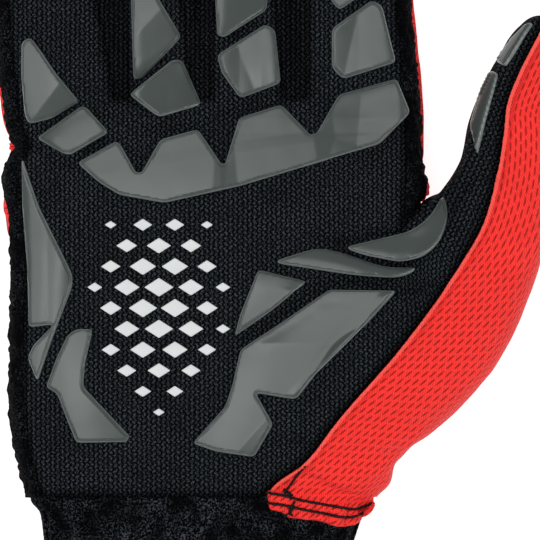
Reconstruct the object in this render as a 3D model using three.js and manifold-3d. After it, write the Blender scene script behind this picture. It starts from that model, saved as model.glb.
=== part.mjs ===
// Motorsport racing glove for the right hand, lying on its back with the palm up.
// Millimetres: +X points to the thumb, +Y to the fingertips, +Z up from the table.
// The origin is on the table, under the middle of the palm.

import * as THREE from "three";
import Module from "manifold-3d";

const wasm = await Module();
wasm.setup();

// Driving dimensions
const WALL = 1.3; // cloth of every panel
const GAP = 0.3; // play between two pieces that meet
const BACK_SEAM_Z = 6; // height of the seam round the back panel
const SEAM_INSET = 3; // the palm panel's seam lies this far inside the outline
const SHOULDER = 0.4; // share of a section's height where its upper arch starts
const BOTTOM_CHAMFER = 2.5; // turn of the cloth at the table
const CUFF_SEAM_Y = -44.3;
const CUFF_END_Y = -100;
const CUFF_GATHERS = 8; // folds over the palm side of the cuff
const GATHER_HEIGHT = 0.9;
const PAD_RISE = 1.1; // top of a grip pad over the cloth
const PAD_CORNER = 1.3; // radius of a pad's corners
const WELT_WIDTH = 1.4;
const WELT_RISE = 1.3;
const HEM_RISE = 2.2;
const OPEN_END = 8; // the hollow runs this far out of an open end
const SKY = 60; // above everything

// The hollow of the palm: one row for each section, from the cuff seam to the finger roots.
const palmRows = [
  { y: CUFF_SEAM_Y, left: -46.5, right: 39, high: 19.5, dish: 0.5 },
  { y: -36, left: -49.2, right: 42, high: 21, dish: 1.5 },
  { y: -22, left: -51.2, right: 44, high: 22.5, dish: 3.2 },
  { y: -4, left: -51.2, right: 46, high: 22.5, dish: 4.2 },
  { y: 14, left: -50.8, right: 49, high: 22, dish: 3.6 },
  { y: 27, left: -51.8, right: 50.5, high: 22.3, dish: 2 },
  { y: 38, left: -52.6, right: 51.5, high: 21.6, dish: 0.6 },
  { y: 45, left: -48.5, right: 51, high: 20, dish: 0 },
  { y: 52, left: -40, right: 49, high: 18, dish: 0 },
  { y: 57.5, left: -31, right: 45, high: 15.5, dish: 0 },
];

// Each finger starts inside the palm and leans to the little finger's side by lean degrees.
// A row gives the distance along the finger, and the width and height of the section there.
const fingerTable = {
  little: {
    root: { x: -36.2, y: 40 },
    lean: 8,
    tip: 11,
    rows: [
      { along: 0, width: 23.5, high: 18 },
      { along: 4, width: 25.2, high: 17.4 },
      { along: 10, width: 29.4, high: 16.6 },
      { along: 20, width: 29.2, high: 17 },
      { along: 33, width: 28.2, high: 16.2 },
      { along: 37, width: 27.4, high: 14.9 },
      { along: 41, width: 27.6, high: 16 },
      { along: 70, width: 24, high: 14.4 },
    ],
  },
  ring: {
    root: { x: -11.8, y: 40 },
    lean: 4,
    tip: 8.5,
    rows: [
      { along: 0, width: 19.5, high: 18.5 },
      { along: 12, width: 20.8, high: 16.8 },
      { along: 20, width: 20.2, high: 17.4 },
      { along: 27.5, width: 19.2, high: 17 },
      { along: 46, width: 19.3, high: 16.6 },
      { along: 50, width: 18.8, high: 15.3 },
      { along: 54, width: 19.1, high: 16.4 },
      { along: 95, width: 17.6, high: 14.6 },
    ],
  },
  middle: {
    root: { x: 8.7, y: 40 },
    lean: 1.5,
    tip: 9.5,
    rows: [
      { along: 0, width: 24.5, high: 18.8 },
      { along: 14, width: 25.2, high: 17 },
      { along: 23, width: 24.8, high: 17.8 },
      { along: 32, width: 23.8, high: 17.3 },
      { along: 42, width: 22.8, high: 17 },
      { along: 54, width: 22.4, high: 16.8 },
      { along: 58, width: 21.9, high: 15.5 },
      { along: 62, width: 22.2, high: 16.6 },
      { along: 103, width: 20.2, high: 14.8 },
    ],
  },
  index: {
    root: { x: 35.9, y: 40 },
    lean: 2.5,
    tip: 10.8,
    rows: [
      { along: 0, width: 31, high: 18.8 },
      { along: 15, width: 31.4, high: 17.2 },
      { along: 25, width: 30.6, high: 18 },
      { along: 35, width: 29.4, high: 17.5 },
      { along: 50, width: 28.6, high: 17 },
      { along: 54, width: 28, high: 15.7 },
      { along: 58, width: 28.2, high: 16.8 },
      { along: 98, width: 24.6, high: 15 },
    ],
  },
};

// The thumb grows out of the ball of the hand and turns towards the fingers.
// turn is the angle of each section, and low is how far its underside is off the table.
const thumbRows = [
  { x: 26.7, y: -39.5, turn: -27, width: 28, low: 0, high: 22 },
  { x: 30.8, y: -28.5, turn: -40, width: 34, low: 0, high: 25 },
  { x: 38.8, y: -16.3, turn: -47, width: 37, low: 0, high: 26.6 },
  { x: 49.8, y: -6.3, turn: -52, width: 36, low: 0, high: 26.6 },
  { x: 60.2, y: 5, turn: -56, width: 35.4, low: 0.4, high: 25.4 },
  { x: 67.6, y: 18.7, turn: -47, width: 31, low: 0.8, high: 24.6 },
  { x: 72.4, y: 30.6, turn: -40, width: 28.5, low: 1.2, high: 24.8 },
  { x: 75.6, y: 42.8, turn: -32, width: 28, low: 1.6, high: 24 },
  { x: 79.2, y: 53.5, turn: -26, width: 26.6, low: 2, high: 23.2 },
  { x: 82.6, y: 63, turn: -21, width: 24, low: 2.4, high: 21.4 },
];
const THUMB_TIP = 13.5;

// The cuff narrows to the wrist and flares to its open end.
const cuffRows = [
  { y: CUFF_SEAM_Y - GAP, left: -46.2, right: 39.6, high: 19.3, gather: 0.4 },
  { y: -49, left: -45, right: 38, high: 19.5, gather: 1 },
  { y: -55, left: -43.2, right: 35.2, high: 18.4, gather: 1 },
  { y: -64, left: -42.2, right: 33.4, high: 17.4, gather: 1 },
  { y: -80, left: -43.4, right: 35.4, high: 18.4, gather: 0.7 },
  { y: CUFF_END_Y, left: -45, right: 38.4, high: 19, gather: 0.35 },
];

// The top seam of the thumb, from its tip down to the wrist: the palm's cloth is on its left.
const thumbSeam = [
  { x: 90, y: 92 },
  { x: 81.3, y: 72 },
  { x: 75.8, y: 61.3 },
  { x: 73, y: 54 },
  { x: 72, y: 46.3 },
  { x: 70, y: 35 },
  { x: 66.3, y: 23.8 },
  { x: 60, y: 13.8 },
  { x: 46.3, y: -5 },
  { x: 30, y: -25 },
  { x: 21.3, y: -35.5 },
  { x: 13.8, y: -42.5 },
  { x: 11, y: -50 },
];

// The red hem that ends the thumb's panel over the cuff.
const hemCorners = [
  [12, -43],
  [18.5, -44.6],
  [26, -46],
  [33.5, -46.8],
  [42, -45.2],
  [48, -47.5],
  [42, -51.2],
  [33, -51.8],
  [26, -50.2],
  [18.5, -49.2],
  [13, -47.2],
];

// Grip pads by their corners seen from above: the palm first, then each finger outwards.
const padCorners = {
  knuckle_pad: [
    [-34.3, 39.2], [-24.6, 44.6], [-23.4, 43.6], [-19.6, 36.8], [-18.2, 36.8], [-13.6, 45],
    [-4.2, 47.6], [1.6, 39], [2.6, 39], [6, 50.4], [16.6, 53.8], [23.8, 46.2], [25.4, 46.6],
    [31, 56.4], [45.4, 60.4], [48.8, 51.8], [41.2, 44], [26.2, 39.4], [6.2, 33.4], [-12.6, 29.2],
    [-23.8, 31.2], [-29, 34.4],
  ],
  heel_side_pad: [
    [-48.2, 40.6], [-43.8, 28.2], [-35.4, 11.2], [-35.5, 8.4], [-40.5, -4.6], [-44.2, -15.4],
    [-46.7, -9.4], [-45.2, -6.2], [-40.2, -1.1], [-46.4, -1.8], [-46.8, 12.8], [-48, 27.8],
  ],
  heel_outer_pad: [
    [-34.6, -2.2], [-30.4, -2.2], [-32.4, -11], [-32.8, -16.6], [-21.2, -29], [-22, -30.4],
    [-34.6, -30.6], [-37.6, -23], [-39.4, -18.2], [-42.2, -16.8], [-39.5, -9.4], [-36.8, -3.8],
  ],
  thenar_inner_pad: [
    [10.8, 12.6], [23, 9.6], [14, 2.2], [4.8, -4.2], [6.3, 1.4], [9.2, 8.6],
  ],
  thenar_main_pad: [
    [28.6, 7.6], [45.2, 7.3], [37, -1.8], [24.8, -14], [20.2, -19.8], [10.2, -18.2],
    [14.6, -26], [9.8, -34.2], [0.2, -32.8], [-5.6, -30.8], [2.6, -21.6], [4.4, -16.2],
    [6.4, -7.4], [16.4, -0.8],
  ],
  web_lower_pad: [
    [13.6, 14.4], [26, 18.2], [33, 16.4], [42, 13.1], [51.8, 13.1], [45.8, 10.4], [34.5, 11.2],
  ],
  web_upper_pad: [
    [32, 18.1], [39.5, 19.9], [48.8, 22.1], [53.8, 25.8], [57.2, 31.6], [58.2, 25],
    [54.4, 16.8], [47.3, 14], [37, 16.2],
  ],
  little_base_pad: [[-44.6, 45.4], [-33.4, 53.4], [-32, 53], [-26.4, 46.8], [-36, 41.2], [-37.6, 41.4]],
  little_lower_pad: [
    [-48.4, 69.4], [-46.2, 70.8], [-43.6, 67.4], [-40, 62], [-34, 54.6], [-40.8, 50.4],
    [-46.6, 49], [-47.6, 51.4], [-48.4, 60.8],
  ],
  ring_base_pad: [[-10.6, 65], [-8.2, 65], [-3.3, 53.8], [-14, 50.6], [-21.4, 56.2]],
  ring_lower_pad: [[-20.4, 60.2], [-18.2, 60.4], [-8.4, 70.8], [-15, 82], [-21.2, 88]],
  middle_base_pad: [
    [0.5, 66.2], [12.6, 74], [15, 72.6], [16.4, 59.2], [6.3, 55.4], [1.6, 61.8],
  ],
  middle_lower_pad: [[0.6, 71], [2.4, 70.6], [13, 77.6], [13.6, 88], [-0.8, 97]],
  index_base_pad: [
    [29.2, 72.8], [39.2, 80], [41.8, 78.6], [45.2, 64.4], [32, 60.2], [29.2, 63],
  ],
  index_lower_pad: [[28.6, 80.4], [31, 77.4], [43, 85.6], [42.6, 94], [28, 102]],
  thumb_base_pad: [
    [68.4, 62.6], [71, 61.6], [67.5, 50], [65.3, 41], [64, 48.8], [66.2, 57.5],
  ],
  thumb_tip_pad: [[70, 65], [72.6, 63], [79.4, 74], [76.8, 74], [73.6, 69.8]],
};

// The pads past the first joint of each finger: a four-sided pad across the finger's top.
// from and to are distances along the finger, share is its part of the width, and slant tips
// its ends.
const upperPads = [
  { finger: "little", name: "little_upper_pad", from: 42, to: 58, share: 0.52, slant: 3 },
  { finger: "little", name: "little_tip_pad", from: 65, to: 74, share: 0.46, slant: 2 },
  { finger: "ring", name: "ring_upper_pad", from: 56, to: 76, share: 0.52, slant: -3 },
  { finger: "ring", name: "ring_tip_pad", from: 81, to: 97, share: 0.46, slant: 2 },
  { finger: "middle", name: "middle_upper_pad", from: 64, to: 84, share: 0.52, slant: -3 },
  { finger: "middle", name: "middle_tip_pad", from: 89, to: 106, share: 0.46, slant: 2 },
  { finger: "index", name: "index_upper_pad", from: 68, to: 85, share: 0.5, slant: -3 },
  { finger: "index", name: "index_tip_pad", from: 90, to: 103, share: 0.44, slant: 2 },
];

const radians = THREE.MathUtils.degToRad;

// Joining and cutting
function toSolid(geometry) {
  const positions = geometry.getAttribute("position");
  const numbers = new Map();
  const vertices = [];
  const corners = geometry.index ? geometry.index.array : [...Array(positions.count).keys()];
  const triangles = [];
  for (const corner of corners) {
    const point = [positions.getX(corner), positions.getY(corner), positions.getZ(corner)];
    const key = point.map((value) => value.toFixed(4)).join();
    if (!numbers.has(key)) {
      numbers.set(key, numbers.size);
      vertices.push(...point);
    }
    triangles.push(numbers.get(key));
  }
  return new wasm.Manifold(new wasm.Mesh({
    numProp: 3,
    vertProperties: new Float32Array(vertices),
    triVerts: new Uint32Array(triangles),
  }));
}

function toGeometry(solid) {
  const mesh = solid.getMesh();
  const geometry = new THREE.BufferGeometry();
  geometry.setAttribute("position", new THREE.BufferAttribute(mesh.vertProperties, 3));
  geometry.setIndex(new THREE.BufferAttribute(mesh.triVerts, 1));
  geometry.computeVertexNormals();
  return geometry;
}

const joined = (solids) => solids.reduce((sum, solid) => sum.add(solid));

// Cuts leave crumbs where two surfaces graze: the piece is the largest body.
function largest(solid) {
  const bodies = solid.decompose();
  return bodies.reduce((best, body) => (body.volume() > best.volume() ? body : best));
}

// A closed skin through rings of equal count, with a fan over each end.
function skin(rings) {
  const count = rings[0].length;
  const vertices = rings.flat();
  const triangles = [];
  for (let ring = 0; ring + 1 < rings.length; ring += 1) {
    for (let point = 0; point < count; point += 1) {
      const next = (point + 1) % count;
      const near = ring * count;
      const far = near + count;
      triangles.push(near + point, near + next, far + next);
      triangles.push(near + point, far + next, far + point);
    }
  }
  const addEnd = (ring, flip) => {
    const centre = new THREE.Vector3();
    rings[ring].forEach((point) => centre.addScaledVector(point, 1 / count));
    vertices.push(centre);
    for (let point = 0; point < count; point += 1) {
      const here = ring * count + point;
      const next = ring * count + ((point + 1) % count);
      triangles.push(vertices.length - 1, ...(flip ? [here, next] : [next, here]));
    }
  };
  addEnd(0, false);
  addEnd(rings.length - 1, true);
  const geometry = new THREE.BufferGeometry().setFromPoints(vertices);
  geometry.setIndex(triangles);
  return toSolid(geometry);
}

// Sections: lists of points (across, up), counterclockwise as seen looking along the limb
function loafSection(limb, row, inset) {
  const half = (row.width / 2 - inset) * row.shrink;
  const low = row.low + inset;
  const high = row.high - inset;
  const shoulder = low + SHOULDER * (high - low);
  const chamfer = Math.min(BOTTOM_CHAMFER, half * 0.4, (shoulder - low) * 0.6);
  const points = [
    [half, low + chamfer],
    [half - chamfer, low],
    [chamfer - half, low],
    [-half, low + chamfer],
  ];
  const segments = inset > 0 ? limb.liningSegments : limb.segments;
  for (let step = 0; step <= segments; step += 1) {
    const angle = Math.PI * (step / segments - 0.5);
    const share = Math.sin(angle);
    const arch = (1 - Math.abs(share) ** limb.squareness) ** (1 / limb.squareness);
    const hollow = (row.dish ?? 0) * (1 - share ** 2) ** 2;
    const wave = GATHER_HEIGHT * (row.gather ?? 0)
      * Math.cos((2 * Math.PI * CUFF_GATHERS * step) / segments);
    const up = shoulder + (high - shoulder) * arch - hollow + wave * Math.cos(angle);
    points.push([(half + wave) * share, up]);
  }
  return points;
}

function columnSection(limb, row, inset) {
  const half = (row.width / 2 - inset) * row.shrink;
  return [[half, BACK_SEAM_Z], [-half, BACK_SEAM_Z], [-half, SKY], [half, SKY]];
}

// A limb as one solid. inset moves its surface in by that much, or out if it is negative.
function limbSolid(limb, inset, section = loafSection) {
  const rings = [];
  const addRing = (row, advance) => {
    const turn = radians(row.turn ?? 0);
    const across = new THREE.Vector3(Math.cos(turn), Math.sin(turn), 0);
    const ahead = new THREE.Vector3(-Math.sin(turn), Math.cos(turn), 0);
    const centre = new THREE.Vector3(row.x, row.y, 0).addScaledVector(ahead, advance);
    rings.push(section(limb, row, inset).map(([side, up]) =>
      centre.clone().addScaledVector(across, side).add(new THREE.Vector3(0, 0, up))));
  };
  const first = limb.rows[0];
  const last = limb.rows.at(-1);
  const isHollow = inset > 0;
  limb.rows.forEach((row) => {
    let advance = 0;
    if (row === first && isHollow) advance = -(limb.mouth ?? 0);
    if (row === last && isHollow) advance = limb.farMouth ?? (limb.tip ? 0 : -inset);
    addRing({ low: 0, shrink: 1, ...row }, advance);
  });
  if (limb.tip) {
    for (const angle of [32, 60, 82]) {
      const fall = 1 - Math.cos(radians(angle));
      const low = last.low ?? 0;
      const depth = last.high - low;
      addRing({
        ...last,
        shrink: Math.cos(radians(angle)) ** 0.8,
        low: low + 0.25 * depth * fall,
        high: last.high - 0.4 * depth * fall,
      }, (limb.tip - inset) * Math.sin(radians(angle)));
    }
  }
  return skin(rings);
}

// Seen from above, a closed outline through points, each corner rounded by radius.
function roundedShape(corners, radius) {
  const points = corners.map(([x, y]) => new THREE.Vector2(x, y));
  const shape = new THREE.Shape();
  points.forEach((corner, number) => {
    const before = points.at(number - 1).clone().sub(corner);
    const after = points[(number + 1) % points.length].clone().sub(corner);
    const reach = Math.min(radius, before.length() * 0.45, after.length() * 0.45);
    const entry = corner.clone().addScaledVector(before.normalize(), reach);
    const exit = corner.clone().addScaledVector(after.normalize(), reach);
    if (number === 0) shape.moveTo(entry.x, entry.y);
    else shape.lineTo(entry.x, entry.y);
    shape.quadraticCurveTo(corner.x, corner.y, exit.x, exit.y);
  });
  shape.closePath();
  return shape;
}

// An upright prism over an outline, from the back seam up.
function column(shape, low = BACK_SEAM_Z + GAP) {
  const geometry = new THREE.ExtrudeGeometry(shape, {
    depth: SKY - low,
    bevelEnabled: false,
    curveSegments: 1,
  });
  return toSolid(geometry.translate(0, 0, low));
}

function box(low, high) {
  const size = high.map((value, axis) => value - low[axis]);
  const geometry = new THREE.BoxGeometry(...size);
  return toSolid(geometry.translate(...low.map((value, axis) => value + size[axis] / 2)));
}

// The limbs
function acrossRows(rows) {
  return rows.map((row) => ({
    ...row,
    x: (row.left + row.right) / 2,
    width: row.right - row.left,
    low: 0,
    shrink: 1,
  }));
}

function fingerPoint(finger, along, side = 0) {
  const lean = radians(finger.lean);
  return {
    x: finger.root.x - along * Math.sin(lean) + side * Math.cos(lean),
    y: finger.root.y + along * Math.cos(lean) + side * Math.sin(lean),
  };
}

const palm = {
  rows: acrossRows(palmRows),
  segments: 14,
  liningSegments: 8,
  squareness: 4,
  mouth: OPEN_END,
};
const cuff = {
  rows: acrossRows(cuffRows).reverse(),
  segments: 4 * CUFF_GATHERS,
  liningSegments: 4 * CUFF_GATHERS,
  squareness: 3.4,
  mouth: OPEN_END,
  farMouth: OPEN_END,
};
const thumb = {
  rows: thumbRows,
  segments: 8,
  liningSegments: 6,
  squareness: 2.4,
  tip: THUMB_TIP,
};
const fingers = Object.values(fingerTable).map((finger) => ({
  rows: finger.rows.map((row) => ({
    ...row,
    ...fingerPoint(finger, row.along),
    turn: finger.lean,
  })),
  segments: 6,
  liningSegments: 4,
  squareness: 2.8,
  tip: finger.tip,
}));

const handLimbs = [palm, thumb, ...fingers];
const aboveCuffSeam = box([-90, CUFF_SEAM_Y, -5], [130, 180, SKY + 5]);

function handAt(inset) {
  return joined(handLimbs.map((limb) => limbSolid(limb, inset)));
}

// The cloth, and the regions that cut it into panels
const hollow = handAt(WALL);
const cloth = handAt(0).intersect(aboveCuffSeam).subtract(hollow);
const underBackSeam = box([-90, -130, -5], [130, 180, BACK_SEAM_Z]);
const overBackSeam = box([-90, -130, BACK_SEAM_Z + GAP], [130, 180, SKY]);

// Everything inside the palm's seam. The palm's cloth also wraps the inner side of the thumb.
function palmRegion(play) {
  const inside = [palm, ...fingers].map((limb) =>
    limbSolid(limb, SEAM_INSET - play, columnSection));
  const thumbWrap = -SEAM_INSET;
  return joined([...inside, limbSolid(thumb, thumbWrap, columnSection)]);
}

// Everything on the outer side of the thumb's top seam
function thumbRegion(play) {
  const seam = thumbSeam.map(({ x, y }) => new THREE.Vector2(x - play, y));
  const far = [new THREE.Vector2(130, -50), new THREE.Vector2(130, 92)];
  return column(new THREE.Shape([...seam, ...far]));
}

const seamlessPalm = cloth.intersect(overBackSeam).subtract(thumbRegion(GAP));
const palmPanel = largest(seamlessPalm.intersect(palmRegion(0)));
const thumbPanel = largest(cloth.intersect(overBackSeam).intersect(thumbRegion(0)));
const backPanel = largest(cloth.intersect(underBackSeam));

// The side walls are what is left. A slit at each fingertip parts them into strips.
function tipSlit(finger) {
  const length = finger.rows.at(-1).along;
  const corner = (along, side) => {
    const { x, y } = fingerPoint(finger, along, side);
    return new THREE.Vector2(x, y);
  };
  const slit = [
    corner(length, -GAP), corner(length, GAP), corner(length + 25, GAP), corner(length + 25, -GAP),
  ];
  return column(new THREE.Shape(slit), 0);
}

const slits = joined(Object.values(fingerTable).map(tipSlit));
const sideWalls = seamlessPalm.subtract(palmRegion(GAP)).subtract(slits);
const sideNames = [
  "little_side_strip",
  "little_ring_fourchette",
  "ring_middle_fourchette",
  "middle_index_fourchette",
  "index_side_strip",
];
const middleX = (solid) => {
  const { min, max } = solid.boundingBox();
  return (min[0] + max[0]) / 2;
};
const sideStrips = sideWalls
  .decompose()
  .sort((one, other) => other.volume() - one.volume())
  .slice(0, sideNames.length)
  .sort((one, other) => middleX(one) - middleX(other));

// The cuff is a gathered tube, open at both ends.
const wristCuff = limbSolid(cuff, 0).subtract(limbSolid(cuff, WALL));

// Pieces that lie on the cloth: the space between two offsets of it, over an outline.
const coatTop = {
  pad: handAt(-PAD_RISE),
  welt: handAt(-WELT_RISE),
  hem: handAt(-HEM_RISE).add(limbSolid(cuff, -HEM_RISE)),
};
const coatFloor = handAt(-GAP).add(limbSolid(cuff, -GAP));

function laidOn(top, shape) {
  return largest(column(shape).intersect(top).subtract(coatFloor));
}

function weltShape() {
  const path = thumbSeam.slice(1, -2);
  const right = path.map(({ x, y }) => [x + WELT_WIDTH / 2, y - WELT_WIDTH / 4]);
  const left = path.map(({ x, y }) => [x - WELT_WIDTH / 2, y + WELT_WIDTH / 4]);
  return roundedShape([...right, ...left.reverse()], 0.2);
}

function upperPadShape({ finger, from, to, share, slant }) {
  const side = (fingerTable[finger].rows.at(-1).width / 2) * share;
  const corner = (along, across) => {
    const { x, y } = fingerPoint(fingerTable[finger], along, across);
    return [x, y];
  };
  const corners = [
    corner(from, -side), corner(from + slant, side), corner(to + slant, side), corner(to, -side),
  ];
  return roundedShape(corners, PAD_CORNER);
}

// Materials and the finished glove
const finishes = {
  blackKnit: { color: 0x17191d, roughness: 0.9, metalness: 0 },
  sideCloth: { color: 0x131417, roughness: 0.95, metalness: 0 },
  cuffKnit: { color: 0x18191c, roughness: 0.97, metalness: 0 },
  redMesh: { color: 0xe8312b, roughness: 0.75, metalness: 0 },
  gripSilicone: { color: 0x68706d, roughness: 0.4, metalness: 0 },
};

const glove = new THREE.Group();

function addPiece(name, solid, finish) {
  const mesh = new THREE.Mesh(toGeometry(solid), new THREE.MeshStandardMaterial(finishes[finish]));
  mesh.name = name;
  glove.add(mesh);
}

addPiece("palm_panel", palmPanel, "blackKnit");
addPiece("back_panel", backPanel, "redMesh");
addPiece("thumb_panel", thumbPanel, "redMesh");
sideStrips.forEach((strip, number) => addPiece(sideNames[number], strip, "sideCloth"));
addPiece("wrist_cuff", wristCuff, "cuffKnit");
addPiece("wrist_hem", laidOn(coatTop.hem, roundedShape(hemCorners, 1)), "redMesh");
addPiece("thumb_welt", laidOn(coatTop.welt, weltShape()), "redMesh");
for (const [name, corners] of Object.entries(padCorners)) {
  addPiece(name, laidOn(coatTop.pad, roundedShape(corners, PAD_CORNER)), "gripSilicone");
}
for (const pad of upperPads) {
  addPiece(pad.name, laidOn(coatTop.pad, upperPadShape(pad)), "gripSilicone");
}

export default glove;
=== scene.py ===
# %% [markdown]
# A motorsport racing glove, right hand, lying on its back with the palm up.
# The solids of the frame say where every panel and pad lies. This lesson makes the cloth, silicone and
# thread that stand for them: first one smooth hand form, then the cuts that part it into sewn panels.

# %% Load the frame
import math

import bmesh
import bpy
import numpy as np
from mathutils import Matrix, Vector, noise
from mathutils.bvhtree import BVHTree


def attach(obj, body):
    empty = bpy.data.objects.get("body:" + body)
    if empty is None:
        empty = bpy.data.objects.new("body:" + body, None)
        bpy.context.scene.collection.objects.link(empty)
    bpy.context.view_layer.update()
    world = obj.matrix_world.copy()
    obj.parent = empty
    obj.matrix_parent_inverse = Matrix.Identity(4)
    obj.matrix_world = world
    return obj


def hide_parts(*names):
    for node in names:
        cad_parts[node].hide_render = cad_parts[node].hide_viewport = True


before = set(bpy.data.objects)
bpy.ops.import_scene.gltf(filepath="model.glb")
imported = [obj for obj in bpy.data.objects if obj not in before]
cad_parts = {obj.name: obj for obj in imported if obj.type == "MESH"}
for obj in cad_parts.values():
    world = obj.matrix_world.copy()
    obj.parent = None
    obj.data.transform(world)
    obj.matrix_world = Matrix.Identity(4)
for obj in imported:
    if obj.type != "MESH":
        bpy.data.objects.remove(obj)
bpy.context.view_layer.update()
MM = 0.001
print("frame nodes:", len(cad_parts))

# %% [markdown]
# Small helpers serve the whole lesson. They turn sRGB hex into the linear colour that shaders want, add nodes
# and materials, and make and move mesh objects in millimetres. A node tree's number has its own class, so
# that the formulas of the materials read as arithmetic.

# %% Helpers
def linear(hex_colour):
    """An sRGB hex colour as linear RGBA."""
    channels = [int(hex_colour[i:i + 2], 16) / 255 for i in (1, 3, 5)]
    return [c / 12.92 if c <= 0.04045 else ((c + 0.055) / 1.055) ** 2.4 for c in channels] + [1]


def node(tree, kind, inputs=None, **settings):
    """Adds one node. An input is a value, or the socket of another node that is linked to it."""
    made = tree.nodes.new(kind)
    for name, value in settings.items():
        setattr(made, name, value)
    for name, value in (inputs or {}).items():
        value = getattr(value, "socket", value)
        if isinstance(value, bpy.types.NodeSocket):
            tree.links.new(value, made.inputs[name])
        else:
            made.inputs[name].default_value = value
    return made


class Number:
    """A number that a node tree works out. Arithmetic on it adds the nodes."""

    def __init__(self, socket):
        self.socket = socket

    def maths(self, operation, *others):
        values = dict(enumerate((self, *others)))
        return Number(node(self.socket.id_data, "ShaderNodeMath", values, operation=operation).outputs[0])

    def __add__(self, other):
        return self.maths("ADD", other)

    def __sub__(self, other):
        return self.maths("SUBTRACT", other)

    def __rsub__(self, other):
        return self.maths("MULTIPLY_ADD", -1.0, other)

    def __mul__(self, other):
        return self.maths("MULTIPLY", other)

    def __truediv__(self, other):
        return self.maths("DIVIDE", other)


def set_inputs(made, values):
    for name, value in values.items():
        made.inputs[name].default_value = value


def new_material(name):
    material = bpy.data.materials.new(name)
    material.use_nodes = True
    return material, material.node_tree, material.node_tree.nodes["Principled BSDF"]


def new_object(name, data):
    """An object in the scene, standing at the origin."""
    made = bpy.data.objects.new(name, data)
    bpy.context.scene.collection.objects.link(made)
    return made


def mesh_object(name, points, faces, smooth=True):
    """A mesh object from points in millimetres."""
    mesh = bpy.data.meshes.new(name)
    mesh.from_pydata((np.asarray(points, float) * MM).tolist(), [], faces)
    mesh.update()
    if smooth:
        mesh.shade_smooth()
    return new_object(name, mesh)


def read(items, name, width, kind=float):
    """One property of a mesh's items, as rows of the given width."""
    values = np.empty(len(items) * width, kind)
    items.foreach_get(name, values)
    return values.reshape(-1, width)


def move_points(thing, points):
    thing.data.vertices.foreach_set("co", (points * MM).ravel())
    thing.data.update()


def mark(thing, name, values, kind="FLOAT", part="value"):
    """Gives an object's points an attribute, for its material or its node tree."""
    thing.data.attributes.new(name, kind, "POINT").data.foreach_set(part, np.ravel(values))


def with_modifiers_applied(thing):
    """The object with what its modifiers made as its own plain mesh."""
    depsgraph = bpy.context.evaluated_depsgraph_get()
    made = bpy.data.meshes.new_from_object(thing.evaluated_get(depsgraph))
    thing.modifiers.clear()
    thing.data = made
    return thing


def turned(x, y, degrees):
    """Plan coordinates turned to the left."""
    sine, cosine = np.sin(np.radians(degrees)), np.cos(np.radians(degrees))
    return x * cosine - y * sine, x * sine + y * cosine


def bell(distance, reach):
    """1 at no distance, falling smoothly to nothing past the reach."""
    return np.exp(-(distance / reach) ** 2)


# %% [markdown]
# The photograph looks straight down at the palm through a long lens. The camera hangs over the middle of
# its field, which is 135 mm wide on the glove. The floor is a pale sweep, and the light is wide and soft.

# %% Floor, camera and light
FIELD = 135.0
FIELD_MIDDLE = (13.75, 12.5)
GLOVE_TOP = 18.0
CAMERA_HEIGHT = 1100.0
SENSOR = 36.0
LEVEL_ABOVE = 1.2  # a lamp higher than this, in metres, faces straight down

camera_data = bpy.data.cameras.new("camera")
camera_data.sensor_width = SENSOR
camera_data.lens = SENSOR * (CAMERA_HEIGHT - GLOVE_TOP) / FIELD
camera_data.clip_start = 0.05
camera = new_object("camera", camera_data)
camera.location = [FIELD_MIDDLE[0] * MM, FIELD_MIDDLE[1] * MM, CAMERA_HEIGHT * MM]
bpy.context.scene.camera = camera


def area_light(name, place, watts, size):
    """A rectangular area light that faces straight down when it is flat overhead, or else the glove."""
    data = bpy.data.lights.new(name, "AREA")
    data.energy = watts
    data.shape = "RECTANGLE"
    data.size, data.size_y = size
    lamp = new_object(name, data)
    lamp.location = place
    if place[2] < LEVEL_ABOVE:
        lamp.rotation_euler = (-Vector(place)).to_track_quat("-Z", "Y").to_euler()


# The overhead softbox ends just right of and below the glove, so level silicone mirrors it and looks light,
# and silicone that dips to the right or down mirrors the dim room instead. Its lamp makes a hotter core.
area_light("overhead_softbox", (-0.55, 0.33, 1.5), 16.0, (1.4, 1.16))
area_light("overhead_core", (-0.125, -0.03, 1.48), 0.75, (0.15, 0.24))
area_light("fill_right", (0.85, -0.3, 0.7), 2.6, (0.35, 0.35))
area_light("fill_low", (-0.3, -0.9, 0.5), 1.6, (0.4, 0.4))

world = bpy.data.worlds.new("soft_studio")
world.use_nodes = True
set_inputs(world.node_tree.nodes["Background"], {"Color": linear("#F4F6F8"), "Strength": 0.36})
bpy.context.scene.world = world
bpy.context.scene.view_settings.view_transform = "Standard"

FLOOR = 900
FLOOR_Z = -0.05
FLOOR_CORNERS = [(-FLOOR, -FLOOR, FLOOR_Z), (FLOOR, -FLOOR, FLOOR_Z), (FLOOR, FLOOR, FLOOR_Z),
                 (-FLOOR, FLOOR, FLOOR_Z)]
floor = mesh_object("floor", FLOOR_CORNERS, [(0, 1, 2, 3)])
# The floor is a lit white table, as for a cut-out picture, so shadows on it stay faint
floor_paint, _, floor_surface = new_material("lit_white_acrylic")
set_inputs(floor_surface, {"Base Color": linear("#9C9C9B"), "Roughness": 0.9,
                           "Emission Color": linear("#FFFFFF"), "Emission Strength": 0.86})
floor.data.materials.append(floor_paint)

# %% [markdown]
# A glove has the form of the hand in it, so the form starts as seven limbs: the palm, four fingers, the
# thumb and the web beside it. Each is a table of cross-sections in millimetres, with the sizes of the
# frame's solids, but fuller where the photograph's fingers touch.

# %% The hand in tables
CUFF_SEAM_Y = -44.3
SEAM_INSET = 3.4
BACK_SEAM_Z = 6.0

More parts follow.
